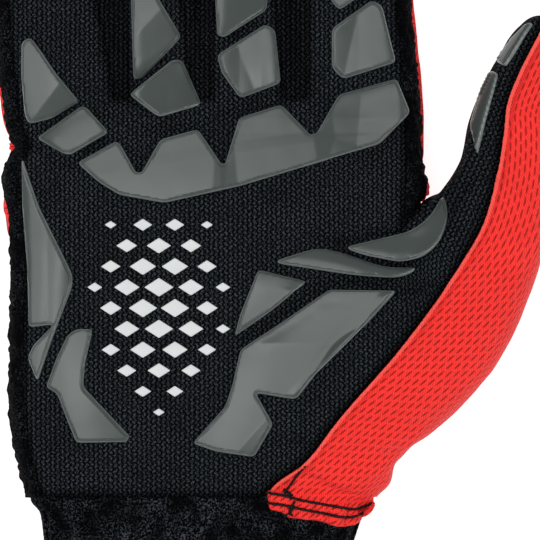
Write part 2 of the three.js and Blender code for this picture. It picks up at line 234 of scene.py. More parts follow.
PALM_ROWS = [  # y, left edge, right edge, height, depth of the hollow
    (CUFF_SEAM_Y - 3, -45.9, 38.4, 19.3, 0.4), (-36, -49.2, 42, 21, 1.5), (-22, -51.2, 44, 22.5, 3.2),
    (-4, -51.2, 46, 22.5, 4.2), (14, -50.8, 49, 22, 3.6), (27, -51.8, 50.5, 22.3, 2),
    (38, -52.6, 51.5, 21.6, 0.6), (45, -48.5, 51, 20, 0), (52, -40, 49, 18, 0), (57.5, -31, 45, 15.5, 0),
]
FINGERS = {  # root, lean to the left in degrees, length of the round tip, and along, width, height
    "little": ((-35.2, 40), 8, 11, [
        (0, 25.5, 18), (4, 27.2, 17.4), (10, 31, 16.6), (20, 31, 17), (33, 30.2, 16.2),
        (37, 29.3, 14.9), (41, 29.4, 16), (70, 25, 14.4)]),
    "ring": ((-12.5, 40), 4, 8.5, [
        (0, 22, 18.5), (12, 23.3, 16.8), (20, 22.8, 17.4), (27.5, 22, 17), (46, 21.6, 16.6),
        (50, 20.8, 15.3), (54, 20.8, 16.4), (95, 18.2, 14.6)]),
    "middle": ((8.4, 40), 1.5, 9.5, [
        (0, 24.5, 18.8), (14, 25.2, 17), (23, 24.8, 17.8), (32, 23.8, 17.3), (42, 22.8, 17),
        (54, 22.4, 16.8), (58, 21.9, 15.5), (62, 22.2, 16.6), (103, 20.2, 14.8)]),
    "index": ((35.9, 40), 2.5, 10.8, [
        (0, 31, 18.8), (15, 31.4, 17.2), (25, 30.6, 18), (35, 29.4, 17.5), (50, 28.6, 17),
        (54, 28, 15.7), (58, 28.2, 16.8), (98, 24.6, 15)]),
}
THUMB_ROWS = [  # x, y, turn in degrees, width, lowest, highest, depth of the hollow
    (26.7, -39.5, -27, 28, 0, 22, 0), (30.8, -28.5, -40, 34, 0, 25, 0), (39.1, -16.7, -47, 38, 0, 26.6, 0),
    (50.2, -6.8, -52, 37.2, 0, 26.6, 0), (60.5, 4.5, -56, 36.6, 0.4, 25.4, 0),
    (68, 18.3, -47, 32.2, 0.8, 24.6, 0), (73, 30.6, -40, 28.3, 1.2, 24.8, 0),
    (76.4, 42.8, -32, 27.6, 1.6, 24, 0), (80.3, 53.5, -26, 26.4, 2, 23.2, 0), (84, 63, -21, 24, 2.4, 21.4, 0),
]
THUMB_TIP = 13.5
WEB_ROWS = [  # the cloth that spans the crook between the palm and the thumb
    (38, 14.8, -63, 17, 0, 20, 0), (46, 18.8, -63, 16, 0, 19.5, 0), (54, 22.6, -63, 12.6, 0, 19, 0),
    (62, 27.4, -63, 9.5, 0, 19, 0),
]


def finger_point(name, along, side=0.0):
    """A point of a finger seen from above: along its axis and to one side of it."""
    root, lean, _, _ = FINGERS[name]
    return np.add(root, turned(side, along, lean))


def limb(rows, squareness, tip=0.0):
    """A limb of the hand: its table of sections, how square they are, and the length of its round end."""
    return {"rows": np.array(rows, float), "squareness": squareness, "tip": tip}


def level_rows(rows):
    """Sections of the palm or the cuff, which are given by their left and right edges."""
    return np.array([((l + r) / 2, y, 0, r - l, 0, high, last) for y, l, r, high, last in rows], float)


limbs = [limb(level_rows(PALM_ROWS), squareness=4.0),
         limb(THUMB_ROWS, squareness=2.4, tip=THUMB_TIP),
         limb(WEB_ROWS, squareness=3.0)]
for name, (_, lean, tip, rows) in FINGERS.items():
    sections = [(*finger_point(name, along), lean, width, 0, high, 0) for along, width, high in rows]
    limbs.append(limb(sections, squareness=2.8, tip=tip))
print("sections:", sum(len(part["rows"]) for part in limbs))

# %% [markdown]
# A cubic curve runs through each column of the table, so a limb bends smoothly between its sections. The
# rings are lofted, and OpenVDB's voxel remesh welds the limbs into one skin, as cloth spans them.

# %% Loft the limbs and weld them
RING_POINTS = 96
SECTION_STEP = 1.5
VOXEL = 0.76
SHOULDER = 0.4
UNDERSIDE_SQUARENESS = 5.0
TIP_ANGLES = np.radians(np.linspace(10, 88, 9))
TIP_RISE, TIP_FALL = 0.25, 0.4  # shares of the height by which a tip's underside rises and its top falls
RELAX_ROUNDS = 8


def smooth_rows(rows, step):
    """Rows at about step apart, on cubic curves through the given ones."""
    gaps = np.maximum(np.linalg.norm(np.diff(rows[:, :2], axis=0), axis=1), 1e-6)
    steepness = np.diff(rows, axis=0) / gaps[:, None]
    before, after = gaps[:-1, None], gaps[1:, None]
    inner = (steepness[:-1] * after + steepness[1:] * before) / (before + after)
    slopes = np.vstack([steepness[:1], inner, steepness[-1:]])
    made = []
    for i, gap in enumerate(gaps):
        for t in np.linspace(0, 1, max(2, round(gap / step)), endpoint=False):
            made.append((1 + 2 * t) * (1 - t) ** 2 * rows[i] + t * (1 - t) ** 2 * gap * slopes[i]
                        + t * t * (3 - 2 * t) * rows[i + 1] + t * t * (t - 1) * gap * slopes[i + 1])
    return np.array(made + [rows[-1]])


def arch_round(around, squareness):
    """Of points round a section: how far to the side, whether in the arched upper half, and how high."""
    side, rising = np.cos(around), np.sin(around) >= 0
    power = np.where(rising, squareness, UNDERSIDE_SQUARENESS)
    return side, rising, (1 - np.abs(side) ** power) ** (1 / power)


def ring(row, squareness, ahead=0.0, shrink=1.0):
    """The points of one cross-section: a flat underside and an arched top."""
    x, y, turn, width, low, high, dish = row
    around = np.linspace(0, 2 * np.pi, RING_POINTS, endpoint=False)
    side, rising, arch = arch_round(around, squareness)
    shoulder = low + SHOULDER * (high - low)
    up = np.where(rising, shoulder + (high - shoulder) * arch - dish * (1 - side ** 2) ** 2,
                  shoulder - (shoulder - low) * arch)
    right, forward = turned(side * width / 2 * shrink, ahead, turn)
    return np.column_stack([x + right, y + forward, up])


def rings_of(part):
    """All cross-sections of a limb, and the shrinking ones of its round tip."""
    rows = smooth_rows(part["rows"], SECTION_STEP)
    rings = [ring(row, part["squareness"]) for row in rows]
    if part["tip"]:
        for angle in TIP_ANGLES:
            fall = 1 - math.cos(angle)
            row = rows[-1].copy()
            depth = row[5] - row[4]
            row[4] += TIP_RISE * depth * fall
            row[5] -= TIP_FALL * depth * fall
            rings.append(ring(row, part["squareness"], part["tip"] * math.sin(angle), math.cos(angle) ** 0.8))
    return rings


def loft(rings, first=0):
    """Points and faces of a closed skin through rings."""
    count = len(rings[0])
    here = np.arange(count)
    ahead = (here + 1) % count
    faces = []
    for i in range(len(rings) - 1):
        a, b = first + i * count, first + (i + 1) * count
        faces += np.column_stack([a + here, a + ahead, b + ahead, b + here]).tolist()
    faces.append((first + here[::-1]).tolist())
    faces.append((first + (len(rings) - 1) * count + here).tolist())
    return np.vstack(rings), faces


def arrays_of(mesh):
    """A mesh's points in millimetres, its vertex normals and its edges."""
    return (read(mesh.vertices, "co", 3) / MM, read(mesh.vertex_normals, "vector", 3),
            read(mesh.edges, "vertices", 2, int))


def relax(points, edges, rounds, share=0.5):
    """Moves each point towards the middle of its neighbours."""
    count = np.bincount(edges.ravel(), minlength=len(points))[:, None]
    for _ in range(rounds):
        total = np.column_stack([
            np.bincount(edges[:, 0], points[edges[:, 1], k], len(points))
            + np.bincount(edges[:, 1], points[edges[:, 0], k], len(points)) for k in range(3)])
        points = points + share * (total / np.maximum(count, 1) - points)
    return points


all_points, all_faces = [], []
for part in limbs:
    points, faces = loft(rings_of(part), sum(map(len, all_points)))
    all_points.append(points)
    all_faces += faces
hand = mesh_object("hand_form", np.vstack(all_points), all_faces)
weld = hand.modifiers.new("weld", "REMESH")
weld.mode = "VOXEL"
weld.voxel_size = VOXEL * MM
with_modifiers_applied(hand)
skin_points, skin_normals, skin_edges = arrays_of(hand.data)
skin_points = relax(skin_points, skin_edges, RELAX_ROUNDS)
print("skin points:", len(skin_points))

# %% [markdown]
# Seen from above, every seam is a line on the plan of the hand. A seam is given as a field: a number at
# each point of the skin that is zero on the seam, positive on one side and negative on the other.

# %% Where the seams run
THUMB_SEAM = [
    (90, 92), (81.3, 72), (75.8, 61.3), (73, 54), (72, 46.3), (70, 35), (66.6, 23.6), (60.8, 13.4),
    (47.4, -5.4), (30.6, -25), (22.2, -35.8), (13.8, -42.5), (11, -50),
]
PALM_TOP_Y = 56  # above it, only the fingers belong to the palm's cloth
THUMB_END = (90, 80)
THUMB_MARGIN, THUMB_END_HALF = 4, 16  # the palm's cloth goes this far past the thumb's half width


def smooth_path(path, step=1.0):
    return smooth_rows(np.array(path, float), step)


def lengths_along(path):
    return np.concatenate([[0], np.cumsum(np.linalg.norm(np.diff(path, axis=0), axis=1))])


def path_distance(points, path):
    """For points seen from above: distance to a path, signed side (left is positive) and place along it."""
    path = np.asarray(path, float)
    best = np.full(len(points), np.inf)
    side, along = np.zeros(len(points)), np.zeros(len(points))
    run = 0.0
    for a, b in zip(path[:-1], path[1:]):
        step = b - a
        length = math.hypot(*step)
        rel = points[:, :2] - a
        t = np.clip(rel @ step / length ** 2, 0, 1)
        gap = np.hypot(*(rel - t[:, None] * step).T)
        near = gap < best
        best[near] = gap[near]
        side[near] = np.sign(step[0] * rel[near, 1] - step[1] * rel[near, 0])
        along[near] = run + t[near] * length
        run += length
    return best, side, along


def finger_place(name, points):
    """Distance along a finger, distance to the side of its axis, and the half width there."""
    root, lean, tip, rows = FINGERS[name]
    side, along = turned(*(points[:, :2] - root).T, -lean)
    half = np.interp(along, [row[0] for row in rows], [row[1] / 2 for row in rows])
    past = np.clip((along - rows[-1][0]) / tip, 0, 1)
    return along, side, half * np.sqrt(1 - past ** 2)


def palm_field(points):
    """Positive inside the seam round the palm's cloth, in millimetres."""
    x, y = points[:, 0], points[:, 1]
    row_y, left, right, _, _ = np.array(PALM_ROWS).T
    inset = np.minimum(x - np.interp(y, row_y, left), np.interp(y, row_y, right) - x) - SEAM_INSET
    field = np.minimum(inset, PALM_TOP_Y - y)
    for name in FINGERS:
        along, side, half = finger_place(name, points)
        field = np.maximum(field, np.minimum(half - SEAM_INSET - np.abs(side), along))
    gap, side, along = path_distance(points, THUMB_AXIS)
    half = np.interp(along, THUMB_ALONG, [row[3] / 2 + THUMB_MARGIN for row in THUMB_ROWS] + [THUMB_END_HALF])
    return np.maximum(field, half - gap)


THUMB_AXIS = [row[:2] for row in THUMB_ROWS] + [THUMB_END]
THUMB_ALONG = lengths_along(THUMB_AXIS)
thumb_seam_path = smooth_path(THUMB_SEAM)


def seam_fields(points):
    gap, side, _ = path_distance(points, thumb_seam_path)
    return {"back": points[:, 2] - BACK_SEAM_Z, "thumb": gap * side, "palm": palm_field(points)}


# %% [markdown]
# Cloth over a hand folds where the hand bends: at the roots of the fingers, in the crook of the thumb and
# at the wrist. Each fold is a path with a depth and a width. A seam pulls the cloth in and puffs it up
# beside itself. A full cloth simulation of the whole glove would take minutes, so the folds are given
# here as displacement of the skin along its normals.

# %% Folds, puckers and seams in relief
FOLDS = [  # path, depth and half width in millimetres
    ([(27, 18.8), (33, 17), (38, 15.2), (44, 13.4), (51, 13.4)], 1.3, 1.5),
    ([(10, 13.6), (22.5, 9.8), (31, 8.6), (46, 8.8), (57, 11)], 1.2, 1.7),
    ([(60, 33), (53, 21), (42, 20.6), (31, 19.6), (22, 20.6)], 1.2, 2.2),
    ([(6, -5.5), (16, 0.8), (28.4, 9)], 0.8, 1.4),
    ([(-47, 47.6), (-37, 39.6), (-26, 45.8)], 1.1, 1.6),
    ([(-22, 49.6), (-14, 48.6), (-3, 50.6)], 1.0, 1.6),
    ([(0, 52), (6, 53.2), (18, 56.2)], 1.0, 1.6),
    ([(27, 56.8), (34, 58.2), (47, 62.6)], 1.0, 1.6),
    ([(-22, 57.6), (-8, 68)], 0.8, 1.3),
    ([(-1, 68.4), (13, 76)], 0.8, 1.3),
    ([(27.5, 75), (43.5, 83)], 0.8, 1.3),
    ([(60, 31), (65, 36), (71, 36)], 1.0, 1.6),
    ([(63, 27), (68, 33)], 0.8, 1.8),
    ([(47, -34), (38, -33), (28, -36)], 0.9, 2.4),
    ([(53, -27), (43, -26), (36, -29)], 0.6, 2.2),
    ([(84, 26), (77, 24), (71, 27)], 0.7, 2.4),
    ([(80, 12), (72, 13), (66, 17)], 0.6, 2.4),
    ([(-48, -38), (-30, -40), (-8, -39), (10, -41)], 0.5, 2.0),
    ([(-45, -30), (-36, -34), (-26, -35)], 0.5, 2.0),
]
FADE_LENGTH = 4  # a fold fades out over this at both ends
SEAM_DEPTH = 0.75
SEAM_HALF_WIDTH = 0.9
PUFF, PUFF_AT, PUFF_HALF_WIDTH = 0.45, 3, 1.8
PALM_SEAM_REACH = 6
LUMPS = [(0.28, 11, 1), (0.12, 4, 2)]  # height, size, seed
RED_BAND = (4.3, 1.8)  # height of the red edge's middle, and its half width
BLACK_BAND = (9.5, 4.0)
UNTOUCHED_Z = 0.6  # the skin under this lies on the floor and stays as it is
RED_EDGE = [  # where the back's red edge shows past the sides: x, y, reach and how far it stands out
    (51.5, 62, 34, 1.4), (-55, 60, 18, 1.25), (51.5, 32.6, 4.2, 3.4), (-50.5, 43.2, 2.4, 2.2),
    (-52, 26, 6.5, 3.4),
]
BULGES = [  # x, y, reach and how far the cloth puffs out sideways at all heights
    (43.5, -41, 2.4, 0.9), (45, -37, 1.8, -0.9), (49, -33, 4, -1.4), (52.5, 33.2, 4.2, 1.7),
]


def unevenness(points, size, seed):
    """Soft noise from -1 to 1, with lumps about size millimetres across."""
    offset = Vector((seed * 17.3, seed * 5.1, seed * 9.7))
    return np.array([noise.noise(Vector(p) / size + offset) for p in points])


# Folds show on the upper side, and fade out at their ends
fields = seam_fields(skin_points)
upward = np.clip(skin_normals[:, 2] * 2, 0, 1)
shift = np.zeros(len(skin_points))
for path, depth, half_width in FOLDS:
    gap, _, along = path_distance(skin_points, smooth_path(path))
    length = along.max()
    fade = np.clip(np.minimum(along, length - along) / FADE_LENGTH + 0.35, 0, 1)
    valley = bell(gap, half_width) - 0.3 * bell(gap - 2.2 * half_width, half_width)
    shift -= depth * valley * upward * fade
# Each seam draws the cloth in and puffs it up beside itself
over_back = fields["back"] > 0
for name in ("back", "thumb", "palm"):
    gap = np.abs(fields[name])
    relief = PUFF * bell(gap - PUFF_AT, PUFF_HALF_WIDTH) - SEAM_DEPTH * bell(gap, SEAM_HALF_WIDTH)
    where = over_back if name != "back" else (skin_normals[:, 2] > -0.6)
    if name == "palm":
        where = where & (fields["thumb"] < 0) & (gap < PALM_SEAM_REACH)
    if name == "thumb":
        where = where & (skin_normals[:, 2] > 0)
    shift += relief * where
for height, size, seed in LUMPS:
    shift += height * unevenness(skin_points, size, seed)
# At the two outer sides the red edge of the back stands out under the black strip
sideways = np.clip(1.5 - 3 * np.abs(skin_normals[:, 2]), 0, 1)
outward = np.zeros(len(skin_points))
for x, y, reach, stand in RED_EDGE:
    near = bell(skin_points[:, 0] - x, max(reach * 0.35, 3)) * np.exp(-((skin_points[:, 1] - y) / reach) ** 4)
    outward = np.maximum(outward, stand * near)
red_edge = np.clip(1.3 - np.abs(skin_points[:, 2] - RED_BAND[0]) / RED_BAND[1], 0, 1)
black_edge = np.clip(1 - np.abs(skin_points[:, 2] - BLACK_BAND[0]) / BLACK_BAND[1], 0, 1)
facing_out = np.clip(2 * skin_normals[:, 0] * np.sign(skin_points[:, 0]) + 0.5, 0, 1)
shift += outward * (red_edge - 0.15 * black_edge) * sideways * facing_out
for x, y, reach, stand in BULGES:
    shift += stand * bell(skin_points[:, 0] - x, 6) * bell(skin_points[:, 1] - y, reach) * sideways
shift[skin_points[:, 2] < UNTOUCHED_Z] = 0
skin_points = relax(skin_points + skin_normals * shift[:, None], skin_edges, 1, 0.3)
skin_points[:, 2] = np.maximum(skin_points[:, 2], 0)
move_points(hand, skin_points)
print("deepest fold and highest ridge, mm:", round(shift.min(), 2), round(shift.max(), 2))

# %% [markdown]
# The skin is now cut along the seams. An edge that a field crosses is split exactly where the field is
# zero, and the new points are joined across the faces, so a panel's edge is as smooth as a cut in cloth.

# %% Cut the skin into panels
SNAP = 0.06  # a point this near to a seam lies on it
OVERRUN = 0.5  # how far a cut may run past another seam
TIP_PARTING = 62.0  # the side strips part at the fingertips above this y


def cuff_field(points):
    """Positive above the seam at the cuff, which wavers as it is gathered."""
    x, y = points[:, 0], points[:, 1]
    return y - CUFF_SEAM_Y - 0.35 * np.sin(x / 1.7 + np.sin(x / 4))


def nearest_finger(points):
    """The number of the finger whose side is nearest, and how far right of its axis a point lies."""
    places = [finger_place(name, points) for name in FINGERS]
    number = np.argmin([np.abs(side) - half for _, side, half in places], axis=0)
    return number, np.choose(number, [side for _, side, _ in places])


def strip_field(points):
    """Positive to the right of the nearest finger's axis, for parting the side strips at the tips."""
    return nearest_finger(points)[1]


def cut_skin(mesh, cuts):
    """Splits the mesh along each field's zero line."""
    bm = bmesh.new()
    bm.from_mesh(mesh)
    for make_field, allowed in cuts:
        bm.verts.ensure_lookup_table()
        bm.edges.ensure_lookup_table()
        points = np.array([v.co for v in bm.verts]) / MM
        edges = np.array([[v.index for v in e.verts] for e in bm.edges])
        field = make_field(points)
        field[np.abs(field) < SNAP] = 0
        a, b = field[edges[:, 0]], field[edges[:, 1]]
        open_to_cut = allowed(points)
        crossed = np.flatnonzero((a * b < 0) & open_to_cut[edges[:, 0]] & open_to_cut[edges[:, 1]])
        places = {bm.edges[i]: float(a[i] / (a[i] - b[i])) for i in crossed}
        bmesh.ops.bisect_edges(bm, edges=list(places), cuts=1, edge_percents=places)
        bm.verts.ensure_lookup_table()
        on_line = [bm.verts[i] for i in np.flatnonzero((field == 0) & open_to_cut)]
        on_line += [bm.verts[i] for i in range(len(points), len(bm.verts))]
        bmesh.ops.connect_verts(bm, verts=on_line)
        bm.verts.index_update()
        bm.edges.index_update()
    bm.to_mesh(mesh)
    bm.free()


def everywhere(points):
    return np.full(len(points), True)


def high_enough(points):
    return points[:, 2] > BACK_SEAM_Z - 0.2


def beside_thumb_seam(points):
    gap, side, _ = path_distance(points, thumb_seam_path)
    return high_enough(points) & (gap * side < OVERRUN)


cut_skin(hand.data, [
    (lambda p: p[:, 2] - BACK_SEAM_Z, everywhere),
    (cuff_field, everywhere),
    (lambda p: seam_fields(p)["thumb"], high_enough),
    (palm_field, beside_thumb_seam),
    (strip_field, lambda p: high_enough(p) & (p[:, 1] > TIP_PARTING) & (palm_field(p) < OVERRUN)),
])
points, _, _ = arrays_of(hand.data)
faces = [tuple(face.vertices) for face in hand.data.polygons]
middles = np.array([points[list(face)].mean(axis=0) for face in faces])
middle_fields = seam_fields(middles)
in_hand = cuff_field(middles) > 0
in_back = in_hand & (middle_fields["back"] < 0)
in_thumb = in_hand & ~in_back & (middle_fields["thumb"] > 0)
in_palm = in_hand & ~in_back & ~in_thumb & (middle_fields["palm"] > 0)
in_sides = in_hand & ~(in_back | in_thumb | in_palm)
print("faces:", len(faces), "palm", in_palm.sum(), "thumb", in_thumb.sum(), "sides", in_sides.sum())

# %% [markdown]
# Each panel gets its thickness by Solidify, inwards from the skin, and a UV map in metres. On the palm the
# map is the plan, turned towards the thumb's base. On the red thumb panel it follows the seam, and the back
# and the side strips use a box map.

# %% Panels from the cut skin
CLOTH = 1.2
FLOOR_CLEAR = 0.4  # a cloth is rough only above this, so that it lies flat on the floor
CROOK = (54, 22)
CROOK_TURN = 25
THUMB_TURN = 11
STEEP = 0.6  # a face whose normal rises less than this is mapped from its side


def patch(name, chosen):
    """The chosen faces of the skin as an object of their own, open at its edges."""
    picked = [faces[i] for i in np.flatnonzero(chosen)]
    used = np.unique(np.concatenate([np.array(face) for face in picked]))
    number = np.full(len(points), -1)
    number[used] = np.arange(len(used))
    return mesh_object(name, points[used], [[int(number[v]) for v in face] for face in picked])


def set_uv(thing, coordinates):
    """A UV map in metres from a function of the corners' points and their faces' normals."""
    mesh = thing.data
    corners = read(mesh.loops, "vertex_index", 1, int).ravel()
    place = read(mesh.vertices, "co", 3) / MM
    face_corners = read(mesh.polygons, "loop_total", 1, int).ravel()
    normals = np.repeat(read(mesh.polygons, "normal", 3), face_corners, axis=0)
    layer = mesh.uv_layers.new(name="cloth")
    layer.uv.foreach_set("vector", (coordinates(place[corners], normals) * MM).ravel())


def plan_map(place, normals):
    """The plan, which turns with the cloth onto the thumb but not onto the index finger."""
    x, y = place[:, 0], place[:, 1]
    past_crook = np.clip((y - 25) / 10, 0, 1)
    share = np.clip((x - 46 - 8 * past_crook) / (10 - 8 * past_crook), 0, 1) * np.clip((y - 2) / 16, 0, 1)
    return np.column_stack(turned(x - CROOK[0], y - CROOK[1], CROOK_TURN * share))


def box_map(place, normals):
    """The plan for level faces, and the height and the longer way round for steep ones."""
    steep = np.abs(normals[:, 2]) < STEEP
    along_x = np.abs(normals[:, 1]) > np.abs(normals[:, 0])
    u = np.where(steep & ~along_x, place[:, 1], place[:, 0])
    v = np.where(steep, place[:, 2], place[:, 1])
    return np.column_stack([u, v])


THUMB_TOP = 20.0
WALES = smooth_path([*THUMB_SEAM[:-3], (14, -44.5), (-4, -66)])


def thumb_map(place, normals):
    """Along the thumb's seam, and away from it over the top and down the side, turned a little below."""
    gap, side, along = path_distance(place, WALES)
    away = gap * side + 0.6 * np.maximum(THUMB_TOP - place[:, 2], 0)
    turn = THUMB_TURN * np.clip((along - 45) / 45, 0, 1)
    return np.column_stack(turned(along - 90, away, turn))


def roughen(thing, depth, size, seed):
    """Gives a cloth its uneven surface, in lumps about size millimetres across, clear of the floor."""
    place, normals, _ = arrays_of(thing.data)
    place += normals * (depth * unevenness(place, size, seed))[:, None] * (place[:, 2:] > FLOOR_CLEAR)
    move_points(thing, place)


def finish_panel(thing, material, coordinates, thickness=CLOTH):
    """Maps an open panel, gives it a wall and a material."""
    set_uv(thing, coordinates)
    wall = thing.modifiers.new("wall", "SOLIDIFY")
    wall.thickness = thickness * MM
    wall.offset = -1
    with_modifiers_applied(thing)
    thing.data.materials.clear()
    thing.data.materials.append(material)
    thing.data.shade_smooth()
    return thing


# %% [markdown]
# The palm is a warp-knit polyester: staggered rows of raised loops with dark openings between them. The
# back and thumb are a red mesh with short slits along the cloth. Both are staggered rows of ovals worked
# out from the thread spacing in millimetres. A dull yarn has almost no gloss, so its specular level is low.

# %% Cloth materials
def ramp(value, low, high):
    """0 where value is under low and 1 where it is over high, with a soft step between."""
    return Number(node(value.socket.id_data, "ShaderNodeMapRange",
                       {"Value": value, "From Min": low, "From Max": high},
                       interpolation_type="SMOOTHSTEP").outputs[0])


def noise_of(place, scale, detail=2.0):
    made = node(place.id_data, "ShaderNodeTexNoise", {"Vector": place, "Scale": scale, "Detail": detail})
    return Number(made.outputs["Fac"])


def marked(tree, name):
    """The attribute that mark gave the piece."""
    return Number(node(tree, "ShaderNodeAttribute", attribute_name=name).outputs["Fac"])


def wave(value, length):
    return (value * (2 * math.pi / length)).maths("SINE")


def ovals(u, v, pitch, size, soft):
    """Staggered rows of ovals: 1 inside an oval and 0 between them. Sizes in metres."""
    column = u / pitch[0]
    row = v / pitch[1] + column.maths("FLOOR").maths("FLOORED_MODULO", 2.0) * 0.5
    across = (column.maths("FRACT") - 0.5) * (2 * pitch[0] / size[0])
    along = (row.maths("FRACT") - 0.5) * (2 * pitch[1] / size[1])
    far = (across * across + along * along).maths("SQRT")
    return 1.0 - ramp(far, 1 - soft, 1 + soft)


def surface_map(tree, turn=0.0):
    """The piece's own cloth map, as a vector and as two lengths."""
    uv = node(tree, "ShaderNodeUVMap", uv_map="cloth").outputs[0]
    along_cloth = node(tree, "ShaderNodeMapping", {"Vector": uv, "Rotation": (0, 0, turn)}).outputs[0]
    u, v, _ = node(tree, "ShaderNodeSeparateXYZ", {0: along_cloth}).outputs
    return uv, Number(u), Number(v)


def mixed(share, first, second):
    made = node(share.socket.id_data, "ShaderNodeMix", {0: share, 6: first, 7: second}, data_type="RGBA")
    return made.outputs[2]


def tinted(hex_colour, light):
    """A colour times a number."""
    return node(light.socket.id_data, "ShaderNodeMix", {0: 1.0, 6: linear(hex_colour), 7: light},
                data_type="RGBA", blend_type="MULTIPLY").outputs[2]


def finish_surface(surface, colour, height, depth, settings):
    """Joins colour and relief to a surface, with its plain settings. depth is in metres."""
    tree = surface.id_data
    bump = node(tree, "ShaderNodeBump", {"Height": height, "Distance": depth, "Strength": 1.0})
    tree.links.new(colour, surface.inputs["Base Color"])
    tree.links.new(bump.outputs[0], surface.inputs["Normal"])
    set_inputs(surface, settings)


def cloth_settings(roughness, specular, sheen=0.0):
    return {"Roughness": roughness, "Specular IOR Level": specular, "Sheen Weight": sheen,
            "Sheen Roughness": 0.5}


def knit_black():
    """Raised loops of dark polyester with open cells between them. Painted shade darkens the loops where
    marked: along seams, and over the gussets between the fingers.
    """
    material, tree, surface = new_material("warp_knit_polyester_black")
    uv, u, v = surface_map(tree)
    u = noise_of(uv, 420.0) * (0.5 * MM) + u
    v = noise_of(uv, 360.0) * (0.6 * MM) + v
    slant = wave(v, 1.4 * MM) * (0.2 * MM) + u
    loops = ovals(slant, v, (1.2 * MM, 1.4 * MM), (0.85 * MM, 1.3 * MM), 0.5)
    yarn = ramp(noise_of(uv, 2300.0, 3.0), 0.42, 0.62)
    broad = noise_of(uv, 70.0) * 0.9 + 0.55
    # Painted shade: the marked share darkens the cloth in the seams and between the fingers.
    light = loops * (yarn * 0.9 + 0.1) * broad * (1.0 - marked(tree, "painted_shade") * 0.85)
    colour = mixed(light, linear("#010101"), linear("#40454B"))
    finish_surface(surface, colour, yarn * 0.35 + loops, 0.2 * MM, cloth_settings(0.85, 0.015))
    return material


def mesh_red(name, hex_colour, slit_share):
    """A close red mesh. The slits run along the cloth, and fine ribs cross it. Painted shade darkens it where
    marked, beside the thumb's seam.
    """
    material, tree, surface = new_material(name)
    uv, u, v = surface_map(tree, math.pi / 2)
    wander = noise_of(uv, 330.0) * (0.35 * MM) + u
    slit = ovals(wander, v, (1.3 * MM, 2.9 * MM), (0.42 * MM, 2.2 * MM), 0.35) * slit_share
    weft = ramp(wave(u + v, 0.8 * MM) * 0.22 + noise_of(uv, 1300.0, 3.0), 0.2, 0.75)
    broad = noise_of(uv, 55.0) * 0.18 + 0.86
    # Painted shade: the marked share darkens the red beside the thumb's seam.
    light = (weft * 0.34 + 0.84) * broad * (1.0 - marked(tree, "painted_shade") * 0.4)
    colour = mixed(slit * 0.85, tinted(hex_colour, light), linear("#A01210"))
    finish_surface(surface, colour, weft * 0.4 - slit, 0.16 * MM, cloth_settings(0.75, 0.15, 0.05))
    return material


def fuzzy_black(name, yarn_size, light_colour, share):
    """A brushed or looped black yarn: bright flecks on black. share is where the flecks begin."""
    material, tree, surface = new_material(name)
    place = node(tree, "ShaderNodeTexCoord").outputs["Object"]
    loops = noise_of(place, 1 / yarn_size, 4.0)
    light = ramp(loops, share, share + 0.14) * ramp(noise_of(place, 160.0, 3.0), 0.25, 0.75)
    colour = mixed(light, linear("#020203"), linear(light_colour))
    finish_surface(surface, colour, loops, 0.6 * yarn_size, cloth_settings(0.9, 0.04))
    return material


black_knit = knit_black()
red_mesh = mesh_red("warp_knit_mesh_red", "#FF3630", 1.0)
# The welt's red is lighter than the panel's: painted highlight along its crest.
welt_red_painted_highlight = mesh_red("folded_welt_red_painted_highlight", "#FF5C52", 0.0)
side_cloth = fuzzy_black("brushed_stretch_cloth_black", 0.45 * MM, "#33363B", 0.5)
terry = fuzzy_black("terry_knit_black", 0.5 * MM, "#41454C", 0.48)

# %% [markdown]
# Silicone for grip pads is cast in a mould and bonded to the cloth. It is a semi-gloss grey, IOR 1.41,
# with a faint unevenness that breaks its reflections. Thread is polyester, a little shiny on its twist.

# %% Silicone and thread
def plain_finish(name, colour, roughness, grain_size, grain_depth, ior=1.41, spread=0.08):
    """An even material with a fine grain in its colour and its surface."""
    material, tree, surface = new_material(name)
    place = node(tree, "ShaderNodeTexCoord").outputs["Object"]
    grain = noise_of(place, 1 / grain_size, 3.0)
    light = (grain + noise_of(place, 0.07 / grain_size)) * spread + (1 - spread)
    finish_surface(surface, tinted(colour, light), grain, grain_depth, {"Roughness": roughness, "IOR": ior})
    return material


def moulded_silicone():
    """Grip silicone: a pale band along the rim, which is painted highlight, and a darker line on a fine step
    inside it, by the rim's distance.
    """
    material, tree, surface = new_material("moulded_silicone_grey")
    place = node(tree, "ShaderNodeTexCoord").outputs["Object"]
    wander = noise_of(place, 300.0) * 0.25 + (marked(tree, "rim") - 0.125)
    # Painted highlight: the pale band along the rim.
    painted_rim_highlight = 1.0 - ramp(wander, 0.18, 0.42)
    step = 1.0 - ramp((wander - 0.85).maths("ABSOLUTE"), 0.05, 0.17)
    step = step * ramp(noise_of(place, 60.0), 0.46, 0.6)
    grain = noise_of(place, 2800.0, 3.0)
    colour = tinted("#454C49", (grain + noise_of(place, 130.0)) * 0.09 + 0.9)
    colour = mixed(painted_rim_highlight * 0.85, colour, linear("#767D7B"))
    colour = mixed(step * 0.6, colour, linear("#2C302E"))
    finish_surface(surface, colour, grain * 0.06 - step * 0.5, 0.12 * MM, {"Roughness": 0.24, "IOR": 1.41})
    return material


grip_silicone = moulded_silicone()
print_silicone = plain_finish("printed_silicone_white", "#D9DBDB", 0.5, 0.4 * MM, 0.01 * MM, spread=0.05)
black_thread = plain_finish("polyester_thread_black", "#0B0B0D", 0.6, 0.15 * MM, 0.03 * MM, ior=1.3,
                            spread=0.3)

# %% [markdown]
# The skin's patches become the sewn panels, each on the solid of the frame that it stands for. The strips
# between palm and back are told apart by the finger that they are nearest to.

# %% Sewn panels
pieces = []  # each piece with its slot and the solids of the frame that it stands for


def keep(thing, slot, *nodes):
    pieces.append((thing, slot, nodes))
    return thing


